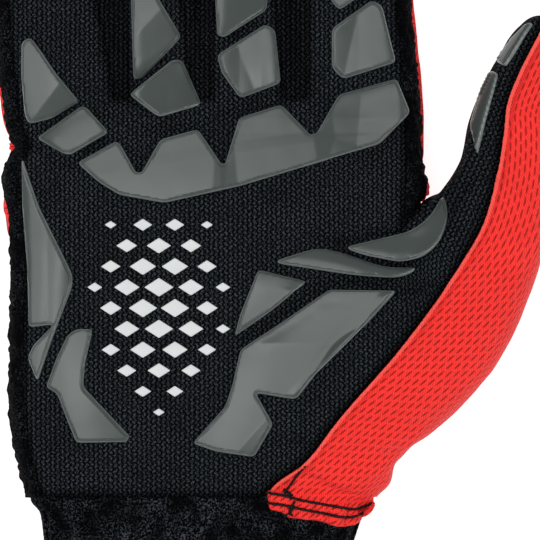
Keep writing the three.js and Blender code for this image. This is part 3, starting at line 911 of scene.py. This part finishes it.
def mark_painted_shade(thing, painted_shade_at):
    """Marks painted shade on a panel, for its material: darkening in seams and between parts, where shade
    falls. Its second argument gives 0 to 1 at points.
    """
    points = arrays_of(thing.data)[0]
    mark(thing, "painted_shade", np.clip(painted_shade_at(points, seam_fields(points)), 0, 1))
    return thing


# Painted shade along the thumb's seam, the palm's seam and the cuff's seam.
def palm_painted_shade(points, seams):
    return bell(seams["thumb"], 1.9) + 0.8 * bell(seams["palm"], 1.0) + bell(points[:, 1] - CUFF_SEAM_Y, 1.6)


# Painted shade on the red thumb panel: dark at the seam and in a band just inside it.
def thumb_painted_shade(points, seams):
    return bell(seams["thumb"], 0.4) + 0.6 * bell(seams["thumb"] - 1.4, 0.5)


# Painted shade over the whole of each gusset, deep between the fingers.
def gusset_painted_shade(points, seams):
    return np.full(len(points), 0.65)


palm_cloth = mark_painted_shade(finish_panel(patch("palm_cloth", in_palm), black_knit, plan_map), palm_painted_shade)
keep(palm_cloth, "black_knit", "palm_panel")
keep(finish_panel(patch("back_cloth", in_back), red_mesh, box_map), "red_mesh", "back_panel")
thumb_cloth = finish_panel(patch("thumb_cloth", in_thumb), red_mesh, thumb_map)
keep(mark_painted_shade(thumb_cloth, thumb_painted_shade), "red_mesh", "thumb_panel")

FUZZ, FUZZ_SIZE = 0.8, 1.5
STRIP_SPLIT_Y = 48  # below it, a side face belongs to the strip on its own side of the palm
finger_number, finger_side = nearest_finger(middles)
strip_number = finger_number + (finger_side > 0)
low_palm = middles[:, 1] < STRIP_SPLIT_Y
strip_number[low_palm] = np.where(middles[low_palm, 0] < 0, 0, 4)
STRIPS = ["little_side_strip", "little_ring_fourchette", "ring_middle_fourchette",
          "middle_index_fourchette", "index_side_strip"]
for number, name in enumerate(STRIPS):
    piece_name = name.replace("_strip", "_cloth").replace("_fourchette", "_gusset")
    strip = patch(piece_name, in_sides & (strip_number == number))
    if name.endswith("_strip"):
        roughen(strip, FUZZ, FUZZ_SIZE, seed=7)
        finish_panel(strip, side_cloth, box_map)
    else:
        mark_painted_shade(finish_panel(strip, black_knit, plan_map), gusset_painted_shade)
    keep(strip, "side_cloth", name)
print("panels:", len(pieces))

# %% [markdown]
# What lies on the cloth is laid on it: an outline seen from above is filled with a fine grid, every point
# of the grid is dropped onto the skin, and the piece rises from there. Its rim is round, as it leaves the
# mould, and its underside sits just in the cloth.

# %% Laying a piece on the skin
GRID = 0.42
SKY = 80.0
GROUND_ROUNDS = 3
RIM_SHARE = 0.25  # how high a piece stands at its very rim, as a share of its rise
DEEPEST = 0.35  # how far a stiff piece may cut into a bump of the ground, as a share of its rise


def ground_of(*things):
    """A search tree over objects, for dropping points onto them."""
    vertices, polygons = [], []
    for thing in things:
        start = len(vertices)
        vertices += [v.co / MM for v in thing.data.vertices]
        polygons += [[start + i for i in face.vertices] for face in thing.data.polygons]
    return BVHTree.FromPolygons(vertices, polygons)


def drop(ground, x, y):
    """Where a point seen from above lands, and the ground's normal there. A miss has no height."""
    hit, normal, _, _ = ground.ray_cast(Vector((x, y, SKY)), Vector((0, 0, -1)))
    return ((x, y, np.nan), (0, 0, 1)) if hit is None else (np.array(hit), np.array(normal))


def rounded(corners, radius, steps=5):
    """A closed outline with each corner rounded."""
    corners = np.array(corners, float)
    outline = []
    for i, corner in enumerate(corners):
        before = corners[i - 1] - corner
        after = corners[(i + 1) % len(corners)] - corner
        reach = min(radius, 0.45 * np.linalg.norm(before), 0.45 * np.linalg.norm(after))
        start = corner + before / np.linalg.norm(before) * reach
        end = corner + after / np.linalg.norm(after) * reach
        for t in np.linspace(0, 1, steps):
            outline.append((1 - t) ** 2 * start + 2 * t * (1 - t) * corner + t * t * end)
    return np.array(outline)


def inside(outline, places):
    """Which places lie in the outline, by counting the edges that a ray crosses."""
    x, y = places[:, 0], places[:, 1]
    odd = np.zeros(len(places), bool)
    for (x0, y0), (x1, y1) in zip(outline, np.roll(outline, -1, axis=0)):
        if y0 == y1:
            continue
        crosses = ((y0 > y) != (y1 > y)) & (x < (x1 - x0) * (y - y0) / (y1 - y0) + x0)
        odd ^= crosses
    return odd


def nearest_on(outline, places):
    """Distance from each place to the outline, and the nearest point on it."""
    closed = np.vstack([outline, outline[:1]])
    gap, _, along = path_distance(places, closed)
    lengths = lengths_along(closed)
    return gap, np.column_stack([np.interp(along, lengths, closed[:, axis]) for axis in (0, 1)])


def bridge_over(hits, stiffness):
    """The ground smoothed as a stiff piece smooths it: a gentle curved sheet, mixed with the true ground."""
    middle = hits[:, :2].mean(axis=0)
    x, y = (hits[:, :2] - middle).T
    terms = np.column_stack([np.ones(len(x)), x, y, x * x, x * y, y * y])
    sheet = terms @ np.linalg.lstsq(terms, hits[:, 2], rcond=None)[0]
    return hits[:, 2] + stiffness * (sheet - hits[:, 2])


def creased(places, creases):
    """How far creases lower a piece. It dips on a line's right by the slope, or rises if that is below 0."""
    drop_by = np.zeros(len(places))
    for (x0, y0), (x1, y1), slope, reach in creases:
        length = math.hypot(x1 - x0, y1 - y0)
        right = ((places[:, 0] - x0) * (y1 - y0) - (places[:, 1] - y0) * (x1 - x0)) / length
        drop_by += slope * np.clip(right, 0, reach)
    return drop_by


def filled(outline, grid):
    """A square grid that fills an outline: its points, its faces, their edges, and the edges at the rim."""
    low, high = outline.min(axis=0) - grid, outline.max(axis=0) + grid
    xs, ys = np.arange(low[0], high[0], grid), np.arange(low[1], high[1], grid)
    places = np.array([(x, y) for x in xs for y in ys])
    corner = np.flatnonzero(inside(outline, places + grid / 2))
    quads = np.column_stack([corner, corner + len(ys), corner + len(ys) + 1, corner + 1])
    used, quads = np.unique(quads, return_inverse=True)
    quads = quads.reshape(-1, 4)
    sides = np.concatenate([quads[:, [i, (i + 1) % 4]] for i in range(4)])
    edges, first, count = np.unique(np.sort(sides, axis=1), axis=0, return_index=True, return_counts=True)
    return places[used], quads, edges, sides[first[count == 1]]


def unit_rows(rows):
    return rows / np.linalg.norm(rows, axis=1)[:, None]


def laid_on(name, ground, outline, rise, rim, sink=0.35, relief=None, grid=GRID, stiffness=0.0, creases=(),
            lift=0.0):
    """A closed piece over an outline, with a rim as wide as rim, in millimetres.

    It rises by rise plus relief, and a stiff piece bridges the ground's bumps. lift carries it higher, and
    creases tilt its parts.
    """
    places, quads, edges, rim_sides = filled(outline, grid)
    gap, spot = nearest_on(outline, places)
    on_rim = np.unique(rim_sides)
    places[on_rim] = spot[on_rim]
    gap[on_rim] = 0
    landed = [drop(ground, x, y) for x, y in places]
    hits, normals = (np.array(rows, float) for rows in zip(*landed))
    hits[np.isnan(hits[:, 2]), 2] = np.nanmedian(hits[:, 2])
    hits[:, 2] = relax(hits, edges, GROUND_ROUNDS)[:, 2]
    normals = unit_rows(relax(normals, edges, GROUND_ROUNDS))
    swell = np.sqrt(np.clip(1 - (1 - np.minimum(gap / rim, 1)) ** 2, 0, 1))
    height = rise * (RIM_SHARE + (1 - RIM_SHARE) * swell)
    if relief is not None:
        height += relief(places)
    bottom = hits - normals * sink
    if stiffness:
        main = normals.mean(axis=0)
        normals = unit_rows((1 - stiffness) * normals + stiffness * main / np.linalg.norm(main))
    bridge = bridge_over(hits, stiffness) + lift - creased(places, creases)
    carried = hits.copy()
    carried[:, 2] = np.maximum(bridge, hits[:, 2] - DEEPEST * rise)
    top = carried + normals * height[:, None]
    count = len(places)
    made = quads.tolist() + (quads[:, ::-1] + count).tolist()
    made += [[int(b), int(a), int(a) + count, int(b) + count] for a, b in rim_sides]
    piece = mesh_object(name, np.vstack([top, bottom]), made)
    mark(piece, "rim", np.tile(gap, 2))
    return piece


# %% [markdown]
# The grip pads are outlines measured on the photograph as corners in millimetres, with a 1.2 mm radius, or
# 4 mm in the crook of the thumb. Pads past the first finger joints are four-sided and follow their finger.
# A crease tilts a part of a pad, so that it mirrors the softbox or the dim room beside it.

# %% Grip pads
PAD_RISE = 0.8
THICKER = {"thenar_main_pad": 0.65}  # how much higher than the others a pad is carried
PAD_RIM = 0.38
PAD_RADIUS = 1.2
WEB_RADIUS = 4.0
PAD_STIFFNESS = 0.75
TIP_STIFFNESS = 0.15
CREASES = {  # from, to, how steeply it dips on the line's right, and how far the slope runs
    "little_lower_pad": [((-34, 54.6), (-40.75, 45.85), -0.17, 6.6)],
    "little_base_pad": [((-26, 41), (-46, 41), -0.2, 12)],
    "ring_lower_pad": [((-8.4, 70.8), (-18.2, 60.4), -0.14, 8.5)],
    "ring_base_pad": [((-3, 66), (-3, 50), -0.15, 18), ((-12, 66), (-12, 50), -0.14, 9)],
    "middle_lower_pad": [((14, 100), (14, 66), -0.24, 15)],
    "middle_base_pad": [((6, 50), (6, 80), -0.09, 12), ((11.5, 50), (11.5, 80), -0.12, 5),
                        ((5, 70), (10, 57), -0.16, 5)],
    "index_base_pad": [((36, 60), (36, 80), -0.09, 10), ((36, 79), (32.5, 62), -0.14, 5)],
    "knuckle_pad": [((4, 52), (5.5, 36), -0.09, 4), ((-0.5, 34), (0.5, 48), 0.09, 3),
                    ((28, 58), (31, 38), -0.12, 5), ((35, 38), (37, 60), -0.12, 14),
                    ((43.5, 38), (44.5, 60), -0.14, 6), ((-18, 41), (-8, 42.5), -0.08, 3),
                    ((50, 46.6), (34.5, 46.6), -0.12, 3.6)],
    "heel_side_pad": [((-41.5, 45), (-41.5, -20), -0.12, 8)],
    "thenar_main_pad": [((48, -6), (20, -6), -0.12, 14), ((25.3, -10), (36, 2.5), 0.16, 5)],
    "web_upper_pad": [((30, 33), (60, 33), -0.16, 19)],
    "web_lower_pad": [((10, 18.5), (55, 18.5), -0.22, 10)],
    "thumb_base_pad": [((70, 63), (66.6, 46), -0.2, 5)],
    "thumb_tip_pad": [((78, 74.5), (71.8, 64), -0.2, 5)],
}
PADS = {
    "knuckle_pad": [
        (-34.3, 39.2), (-24.6, 44.6), (-23.4, 43.6), (-19.6, 36.8), (-18.2, 36.8), (-13.6, 45), (-4.2, 47.6),
        (1.6, 39), (2.6, 39), (6, 50.4), (16.6, 53.8), (23.8, 46.2), (25.4, 46.6), (31, 56.4), (45.4, 60.4),
        (48.8, 51.8), (41.2, 44), (26.2, 39.4), (6.2, 33.4), (-12.6, 29.2), (-23.8, 31.2), (-29, 34.4)],
    "heel_side_pad": [
        (-48.2, 40.6), (-43.8, 28.2), (-35.4, 11.2), (-35.5, 8.4), (-40.5, -4.6), (-44.2, -15.4),
        (-46.7, -9.4), (-45.2, -6.2), (-40.2, -1.1), (-46.4, -1.8), (-46.8, 12.8), (-48, 27.8)],
    "heel_outer_pad": [
        (-34.6, -2.2), (-30.4, -2.2), (-32.4, -11), (-32.8, -16.6), (-21.2, -29), (-22, -30.4),
        (-34.6, -30.6), (-37.6, -23), (-39.4, -18.2), (-42.2, -16.8), (-39.5, -9.4), (-36.8, -3.8)],
    "thenar_inner_pad": [(10.8, 12.6), (23, 9.6), (14, 2.2), (4.8, -4.2), (6.3, 1.4), (9.2, 8.6)],
    "thenar_main_pad": [
        (28.6, 7.6), (45.2, 7.3), (37, -1.8), (24.8, -14), (20.2, -19.8), (10.2, -18.2), (14.6, -26),
        (9.8, -34.2), (0.2, -32.8), (-5.6, -30.8), (2.6, -21.6), (4.4, -16.2), (6.4, -7.4), (16.4, -0.8)],
    "web_lower_pad": [
        (13.6, 14.4), (26, 18.2), (33, 16.4), (42, 13.1), (51.8, 13.1), (45.8, 10.4), (34.5, 11.2)],
    "web_upper_pad": [
        (32, 18.1), (39.5, 19.9), (48.8, 22.1), (53.8, 25.8), (57.4, 32), (58.4, 25.5), (56, 19.4),
        (52, 15.8), (46.5, 14.4), (37, 16.2)],
    "little_base_pad": [(-44.6, 45.4), (-33.4, 53.4), (-32, 53), (-26.4, 46.8), (-36, 41.2), (-37.6, 41.4)],
    "little_lower_pad": [
        (-48.4, 69.4), (-46.2, 70.8), (-43.6, 67.4), (-40, 62), (-34, 54.6), (-40.8, 50.4), (-46.6, 49),
        (-47.6, 51.4), (-48.4, 60.8)],
    "ring_base_pad": [(-10.6, 65), (-8.2, 65), (-3.3, 53.8), (-14, 50.6), (-21.4, 56.2)],
    "ring_lower_pad": [(-20.4, 60.2), (-18.2, 60.4), (-8.4, 70.8), (-15, 82), (-21.2, 88)],
    "middle_base_pad": [(0.5, 66.2), (12.6, 74), (15, 72.6), (16.4, 59.2), (6.3, 55.4), (1.6, 61.8)],
    "middle_lower_pad": [(0.6, 71), (2.4, 70.6), (13, 77.6), (13.6, 88), (-0.8, 97)],
    "index_base_pad": [(29.2, 72.8), (39.2, 80), (41.8, 78.6), (45.2, 64.4), (32, 60.2), (29.2, 63)],
    "index_lower_pad": [(28.6, 80.4), (31, 77.4), (43, 85.6), (42.6, 94), (28, 102)],
    "thumb_base_pad": [(69, 62.6), (71.2, 61.6), (67.8, 50), (65.5, 41), (64, 48.8), (66.5, 57.5)],
    "thumb_tip_pad": [(70.4, 65), (72.8, 63), (79.8, 74.2), (77.8, 74.2), (74.1, 70.2)],
}
UPPER_PADS = {  # finger, from, to, share of the width, slant of the ends
    "little_upper_pad": ("little", 42, 58, 0.52, 3), "little_tip_pad": ("little", 65, 74, 0.46, 2),
    "ring_upper_pad": ("ring", 56, 76, 0.52, -3), "ring_tip_pad": ("ring", 81, 97, 0.46, 2),
    "middle_upper_pad": ("middle", 64, 84, 0.52, -3), "middle_tip_pad": ("middle", 89, 106, 0.46, 2),
    "index_upper_pad": ("index", 68, 85, 0.5, -3), "index_tip_pad": ("index", 90, 103, 0.44, 2),
}
skin_ground = ground_of(hand)
for name, (finger, start, end, share, slant) in UPPER_PADS.items():
    side = FINGERS[finger][3][-1][1] / 2 * share
    PADS[name] = [finger_point(finger, start, -side), finger_point(finger, start + slant, side),
                  finger_point(finger, end + slant, side), finger_point(finger, end, -side)]
for name, corners in PADS.items():
    radius = WEB_RADIUS if name.startswith("web") else PAD_RADIUS
    stiffness = TIP_STIFFNESS if name in UPPER_PADS else PAD_STIFFNESS
    pad = laid_on(name.replace("_pad", "_grip"), skin_ground, rounded(corners, radius), PAD_RISE, PAD_RIM,
                  stiffness=stiffness, creases=CREASES.get(name, ()), lift=THICKER.get(name, 0))
    pad.data.materials.append(grip_silicone)
    keep(pad, "grip_silicone", name)
print("pads:", len(PADS))

# %% [markdown]
# The cuff is a tube of terry knit, gathered by the elastic in its seam. It is lofted like the limbs, with
# waves added round its palm side. The waves are irregular and die away towards the open end.

# %% Gathered cuff
CUFF_ROWS = [  # y, left, right, height, share of the gathers
    (CUFF_SEAM_Y + 0.5, -46.5, 38.6, 18.9, 0.25), (-45.6, -46.4, 38.3, 19.3, 0.6),
    (-48.2, -44.2, 37.2, 19.5, 1), (-50, -43.8, 36.6, 19.4, 1), (-55, -43.2, 35, 18.4, 1),
    (-64, -42.2, 33.4, 17.4, 1), (-80, -43.4, 35.4, 18.4, 0.7), (-99.4, -45, 38.2, 19, 0.3),
]
CUFF_AROUND = 420
CUFF_STEP = 0.9
CUFF_SQUARENESS = 3.4
CUFF_CLOTH = 1.4
GATHERS = 0.8
DEEP_FOLDS = [(-31, 2.4, 1.5), (-9, 3.2, 1.35)]  # x, half width, depth
SEAM_RIDGE = (-46.3, 1.0, 0.45)  # y, half width, height
LOOPS, LOOP_SIZE = 0.16, 0.9

around = np.linspace(0, 2 * np.pi, CUFF_AROUND, endpoint=False)
side, rising, arch = arch_round(around, CUFF_SQUARENESS)
cuff_rings = []
for x, y, _, width, _, high, gather in smooth_rows(level_rows(CUFF_ROWS), CUFF_STEP):
    shoulder = SHOULDER * high
    drift = 0.08 * (y + 45)
    wave_up = np.sin(around * 23 + 0.9 * np.sin(3 * around + drift)) + 0.7 * np.sin(around * 37 + drift)
    wave_up *= GATHERS * gather * rising * np.minimum(arch * 2, 1)
    across = x + side * width / 2
    fold = -gather * rising * sum(depth * bell(across - fold_x, half) for fold_x, half, depth in DEEP_FOLDS)
    ridge = rising * SEAM_RIDGE[2] * bell(y - SEAM_RIDGE[0], SEAM_RIDGE[1])
    up = np.where(rising, shoulder + (high - shoulder) * arch, shoulder * (1 - arch)) + ridge
    cuff_rings.append(np.column_stack([across + side * wave_up * 0.3, np.full(CUFF_AROUND, y),
                                       up + wave_up + fold]))
cuff_points, cuff_faces = loft(cuff_rings)
cuff = mesh_object("wrist_cuff_terry", cuff_points, cuff_faces[:-2])
roughen(cuff, LOOPS, LOOP_SIZE, seed=5)
finish_panel(cuff, terry, box_map, CUFF_CLOTH)
keep(cuff, "cuff_knit", "wrist_cuff")
print("cuff points:", len(cuff.data.vertices))

# %% [markdown]
# At the wrist the red panel is turned under and stitched down over the cuff, and along the thumb its seam
# allowance stands up as a welt. Both are laid on the cloth as the pads are.

# %% Hem and welt
HEM = [
    (12.8, -42.4), (20, -42.8), (30, -43.2), (40, -43.4), (39.9, -46.8), (38.8, -48.4), (36.6, -49.6),
    (35.2, -50.8), (32.5, -52), (29.5, -51.4), (26, -50.2), (21, -49.6), (17.6, -49.4), (16.6, -47.9),
    (13.6, -47.3)]
HEM_ROW_HIGH = [(13, -43.1), (17, -43.7), (21, -44.8), (26, -45.8), (32.5, -47), (34.4, -47.4), (38.8, -46.2)]
HEM_ROW_LOW = [(13.4, -45.7), (17.5, -46.2), (21, -47), (26, -48), (31, -49.1), (34, -49.4), (36.4, -48.7)]
high_row = smooth_path(HEM_ROW_HIGH, 0.8)
low_row = smooth_path(HEM_ROW_LOW, 0.8)


def hem_relief(places):
    """Flat above the upper stitch row, where the hem runs on into the panel, and pulled in at both rows."""
    gap, side, _ = path_distance(places, high_row)
    low_gap = path_distance(places, low_row)[0]
    above = np.clip(gap * side / 1.2, 0, 1)
    return -above - 0.4 * bell(gap, 0.5) - 0.4 * bell(low_gap, 0.5)


wrist_ground = ground_of(hand, cuff)
hem = laid_on("wrist_hem_fold", wrist_ground, rounded(HEM, 0.9), 1.45, 0.9, sink=0.5, relief=hem_relief,
              grid=0.3)
set_uv(hem, thumb_map)
hem.data.materials.append(red_mesh)
keep(hem, "red_mesh", "wrist_hem")


def left_of(path):
    """A path's own left, at each of its points."""
    run = np.gradient(path, axis=0)
    return unit_rows(np.column_stack([-run[:, 1], run[:, 0]]))


def ribbon(path, width):
    """An outline that runs along both sides of a path."""
    left = left_of(path)
    return np.vstack([path + left * width / 2, (path - left * width / 2)[::-1]])


WELT_WIDTH = 0.75
WELT_IN = 0.6
WELT_ENDS = (-43, 73)
welt_path = thumb_seam_path + WELT_IN * left_of(thumb_seam_path)
welt_path = welt_path[(thumb_seam_path[:, 1] > WELT_ENDS[0]) & (thumb_seam_path[:, 1] < WELT_ENDS[1])]
welt = laid_on("thumb_seam_welt", skin_ground, ribbon(welt_path, WELT_WIDTH), 1.0, WELT_WIDTH / 2, grid=0.26)
set_uv(welt, thumb_map)
# Its material's lighter red is painted highlight along the welt's crest.
welt.data.materials.append(welt_red_painted_highlight)
keep(welt, "red_mesh", "thumb_welt")

# %% [markdown]
# A row of stitches is one small arc of thread, repeated along a path. Geometry Nodes lays the arcs: the
# path is resampled at the pitch, an arc is set on each point along the tangent, and all are realized.

# %% A Geometry Nodes tree for stitches
def geometry_tree(name, numbers, material):
    """A tree with a geometry, some numbers and a material going in, and a geometry coming out."""
    tree = bpy.data.node_groups.new(name, "GeometryNodeTree")
    face = tree.interface
    face.new_socket("Geometry", in_out="INPUT", socket_type="NodeSocketGeometry")
    for label in numbers:
        face.new_socket(label, in_out="INPUT", socket_type="NodeSocketFloat")
    face.new_socket(material, in_out="INPUT", socket_type="NodeSocketMaterial")
    face.new_socket("Geometry", in_out="OUTPUT", socket_type="NodeSocketGeometry")
    return tree, node(tree, "NodeGroupInput").outputs


def vector(tree, x=0.0, y=0.0, z=0.0):
    return node(tree, "ShaderNodeCombineXYZ", {"X": x, "Y": y, "Z": z}).outputs[0]


def aligned(tree, direction, axis):
    return node(tree, "FunctionNodeAlignRotationToVector", {"Vector": direction}, axis=axis).outputs[0]


def set_out(tree, points, thing, material, **settings):
    """Sets a thing on each point, makes it real and sends it out."""
    laid = node(tree, "GeometryNodeInstanceOnPoints", {"Points": points, "Instance": thing, **settings})
    real = node(tree, "GeometryNodeRealizeInstances", {0: laid.outputs[0]})
    done = node(tree, "GeometryNodeSetMaterial", {"Geometry": real.outputs[0], "Material": material})
    node(tree, "NodeGroupOutput", {0: done.outputs[0]})


def stitch_tree():
    tree, given = geometry_tree("stitch_row", ["Pitch", "Length", "Thickness", "Lift"], "Thread")
    half = Number(given["Length"]) * 0.5
    thickness = Number(given["Thickness"])
    sunk = thickness * -0.9
    arc = node(tree, "GeometryNodeCurveQuadraticBezier", {
        "Resolution": 6, "Start": vector(tree, x=half * -1.0, z=sunk),
        "Middle": vector(tree, z=thickness * 1.4), "End": vector(tree, x=half, z=sunk)})
    section = node(tree, "GeometryNodeCurvePrimitiveCircle", {"Resolution": 6, "Radius": thickness * 0.5})
    thread = node(tree, "GeometryNodeCurveToMesh",
                  {0: arc.outputs[0], 1: section.outputs[0], "Fill Caps": True})
    row = node(tree, "GeometryNodeResampleCurve", {"Curve": given["Geometry"], "Length": given["Pitch"]},
               mode="LENGTH")
    raised = node(tree, "GeometryNodeSetPosition",
                  {"Geometry": row.outputs[0], "Offset": vector(tree, z=given["Lift"])})
    tangent = node(tree, "GeometryNodeInputTangent").outputs[0]
    set_out(tree, raised.outputs[0], thread.outputs[0], given["Thread"],
            Rotation=aligned(tree, tangent, "X"))
    return tree


STITCH = stitch_tree()


def apply_tree(name, thing, tree, values):
    """Runs a Geometry Nodes tree on an object, with values by socket name, and gives the plain mesh."""
    modifier = thing.modifiers.new(tree.name, "NODES")
    modifier.node_group = tree
    for item in tree.interface.items_tree:
        if item.item_type == "SOCKET" and item.in_out == "INPUT" and item.name in values:
            modifier[item.identifier] = values[item.name]
    depsgraph = bpy.context.evaluated_depsgraph_get()
    mesh = bpy.data.meshes.new_from_object(thing.evaluated_get(depsgraph))
    bpy.data.objects.remove(thing)
    made = new_object(name, mesh)
    made.data.shade_smooth()
    return made


def stitches(name, paths, ground, thread, **sizes):
    """Rows of stitches along paths seen from above, dropped onto the ground. Sizes in millimetres."""
    data = bpy.data.curves.new(name, "CURVE")
    data.dimensions = "3D"
    for path in paths:
        hits = [drop(ground, x, y)[0] for x, y in np.asarray(path)[:, :2]]
        hits = [hit for hit in hits if math.isfinite(hit[2])]
        spline = data.splines.new("POLY")
        spline.points.add(len(hits) - 1)
        for point, hit in zip(spline.points, hits):
            point.co = (*(hit * MM), 1)
    values = {key.title(): size * MM for key, size in sizes.items()}
    return apply_tree(name, new_object(name + "_row", data), STITCH, {**values, "Thread": thread})


# %% [markdown]
# The hem is held by two rows of black lockstitch with a small bar and a slanting row at their inner end.

# %% Stitch rows
hem_ground = ground_of(hem, hand, cuff)
HEM_BAR = [(17.4, -43), (17.2, -48.8), (17.9, -49), (18.2, -43.2), (18.9, -43.4), (18.7, -48.6), (19.5, -46)]
DIAGONAL = [(17.4, -43.2), (19.6, -40), (22.4, -36.4)]
keep(stitches("hem_stitches", [low_row, high_row], hem_ground, black_thread, lift=0.3, pitch=1.9, length=2.2,
              thickness=0.72), "black_knit")
keep(stitches("hem_bar", [np.array(HEM_BAR), smooth_path(DIAGONAL, 0.8)], hem_ground, black_thread, lift=0.3,
              pitch=1.0, length=1.5, thickness=0.62), "black_knit")

# %% [markdown]
# A plain oval grip field is printed on the hollow of the palm: rows of rounded diamonds that shrink towards
# the edge of the oval. Each is one small mesh, set on points by Geometry Nodes, which turn it to the cloth's
# normal and scale it by the point's own size.

# %% Grip print
PRINT_PITCH = (8.0, 5.2)
PRINT_MIDDLE = (-14.0, 4.0)
PRINT_REACH = (18.0, 27.0)
PRINT_SIZE = 3.0
PRINT_CLEAR = 0.6
PRINT_LIFT = 0.12
DIAMOND_LONG, DIAMOND_WIDE = 1.25, 0.8


def print_tree():
    tree, given = geometry_tree("grip_print", ["Thickness"], "Silicone")
    diamond = node(tree, "GeometryNodeMeshCylinder", {"Vertices": 4, "Radius": 1.0, "Depth": 1.0},
                   fill_type="NGON")
    squash = vector(tree, x=DIAMOND_LONG, y=DIAMOND_WIDE, z=given["Thickness"])
    flat = node(tree, "GeometryNodeTransform", {"Geometry": diamond.outputs[0], "Scale": squash})
    slope = node(tree, "GeometryNodeInputNamedAttribute", {"Name": "slope"}, data_type="FLOAT_VECTOR")
    size = node(tree, "GeometryNodeInputNamedAttribute", {"Name": "size"}, data_type="FLOAT").outputs[0]
    set_out(tree, given["Geometry"], flat.outputs[0], given["Silicone"],
            Rotation=aligned(tree, slope.outputs[0], "Z"), Scale=vector(tree, x=size, y=size, z=1.0))
    return tree


spots, slopes, sizes = [], [], []
for row, y in enumerate(np.arange(-PRINT_REACH[1], PRINT_REACH[1], PRINT_PITCH[1])):
    for x in np.arange(-4, 5) * PRINT_PITCH[0] + (row % 2) * PRINT_PITCH[0] / 2:
        far = math.hypot(x / PRINT_REACH[0], y / PRINT_REACH[1])
        if far > 1:
            continue
        size = PRINT_SIZE * (1 - 0.6 * far ** 2)
        place = np.array([[PRINT_MIDDLE[0] + x, PRINT_MIDDLE[1] + y]])
        pad_gap = min(nearest_on(corners, place)[0][0] for corners in PADS.values())
        if pad_gap < DIAMOND_LONG * size + PRINT_CLEAR:
            continue
        hit, normal = drop(skin_ground, *place[0])
        spots.append(hit + normal * PRINT_LIFT)
        slopes.append(normal)
        sizes.append(size * MM)
print_points = mesh_object("grip_print", spots, [], smooth=False)
mark(print_points, "slope", slopes, "FLOAT_VECTOR", "vector")
mark(print_points, "size", sizes)
grip_print = apply_tree("palm_grip_print", print_points, print_tree(),
                        {"Thickness": 0.5 * MM, "Silicone": print_silicone})
soften = grip_print.modifiers.new("soften", "BEVEL")
soften.width = 0.35 * MM
soften.segments = 3
with_modifiers_applied(grip_print)
grip_print.data.shade_smooth()
keep(grip_print, "print_silicone")
print("printed diamonds:", len(spots))

# %% [markdown]
# Every piece rides on the one body of the glove and names the solids that it stands for. The form that
# the panels were cut from is no piece, so it is removed.

# %% Hand over
bpy.data.objects.remove(hand)
for thing, slot, nodes in pieces:
    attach(thing, "root")
    if nodes:
        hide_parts(*nodes)
triangles = {thing.name: sum(len(face.vertices) - 2 for face in thing.data.polygons)
             for thing, _, _ in pieces}
largest = max(triangles, key=triangles.get)
print("triangles:", sum(triangles.values()), "largest:", largest, triangles[largest])
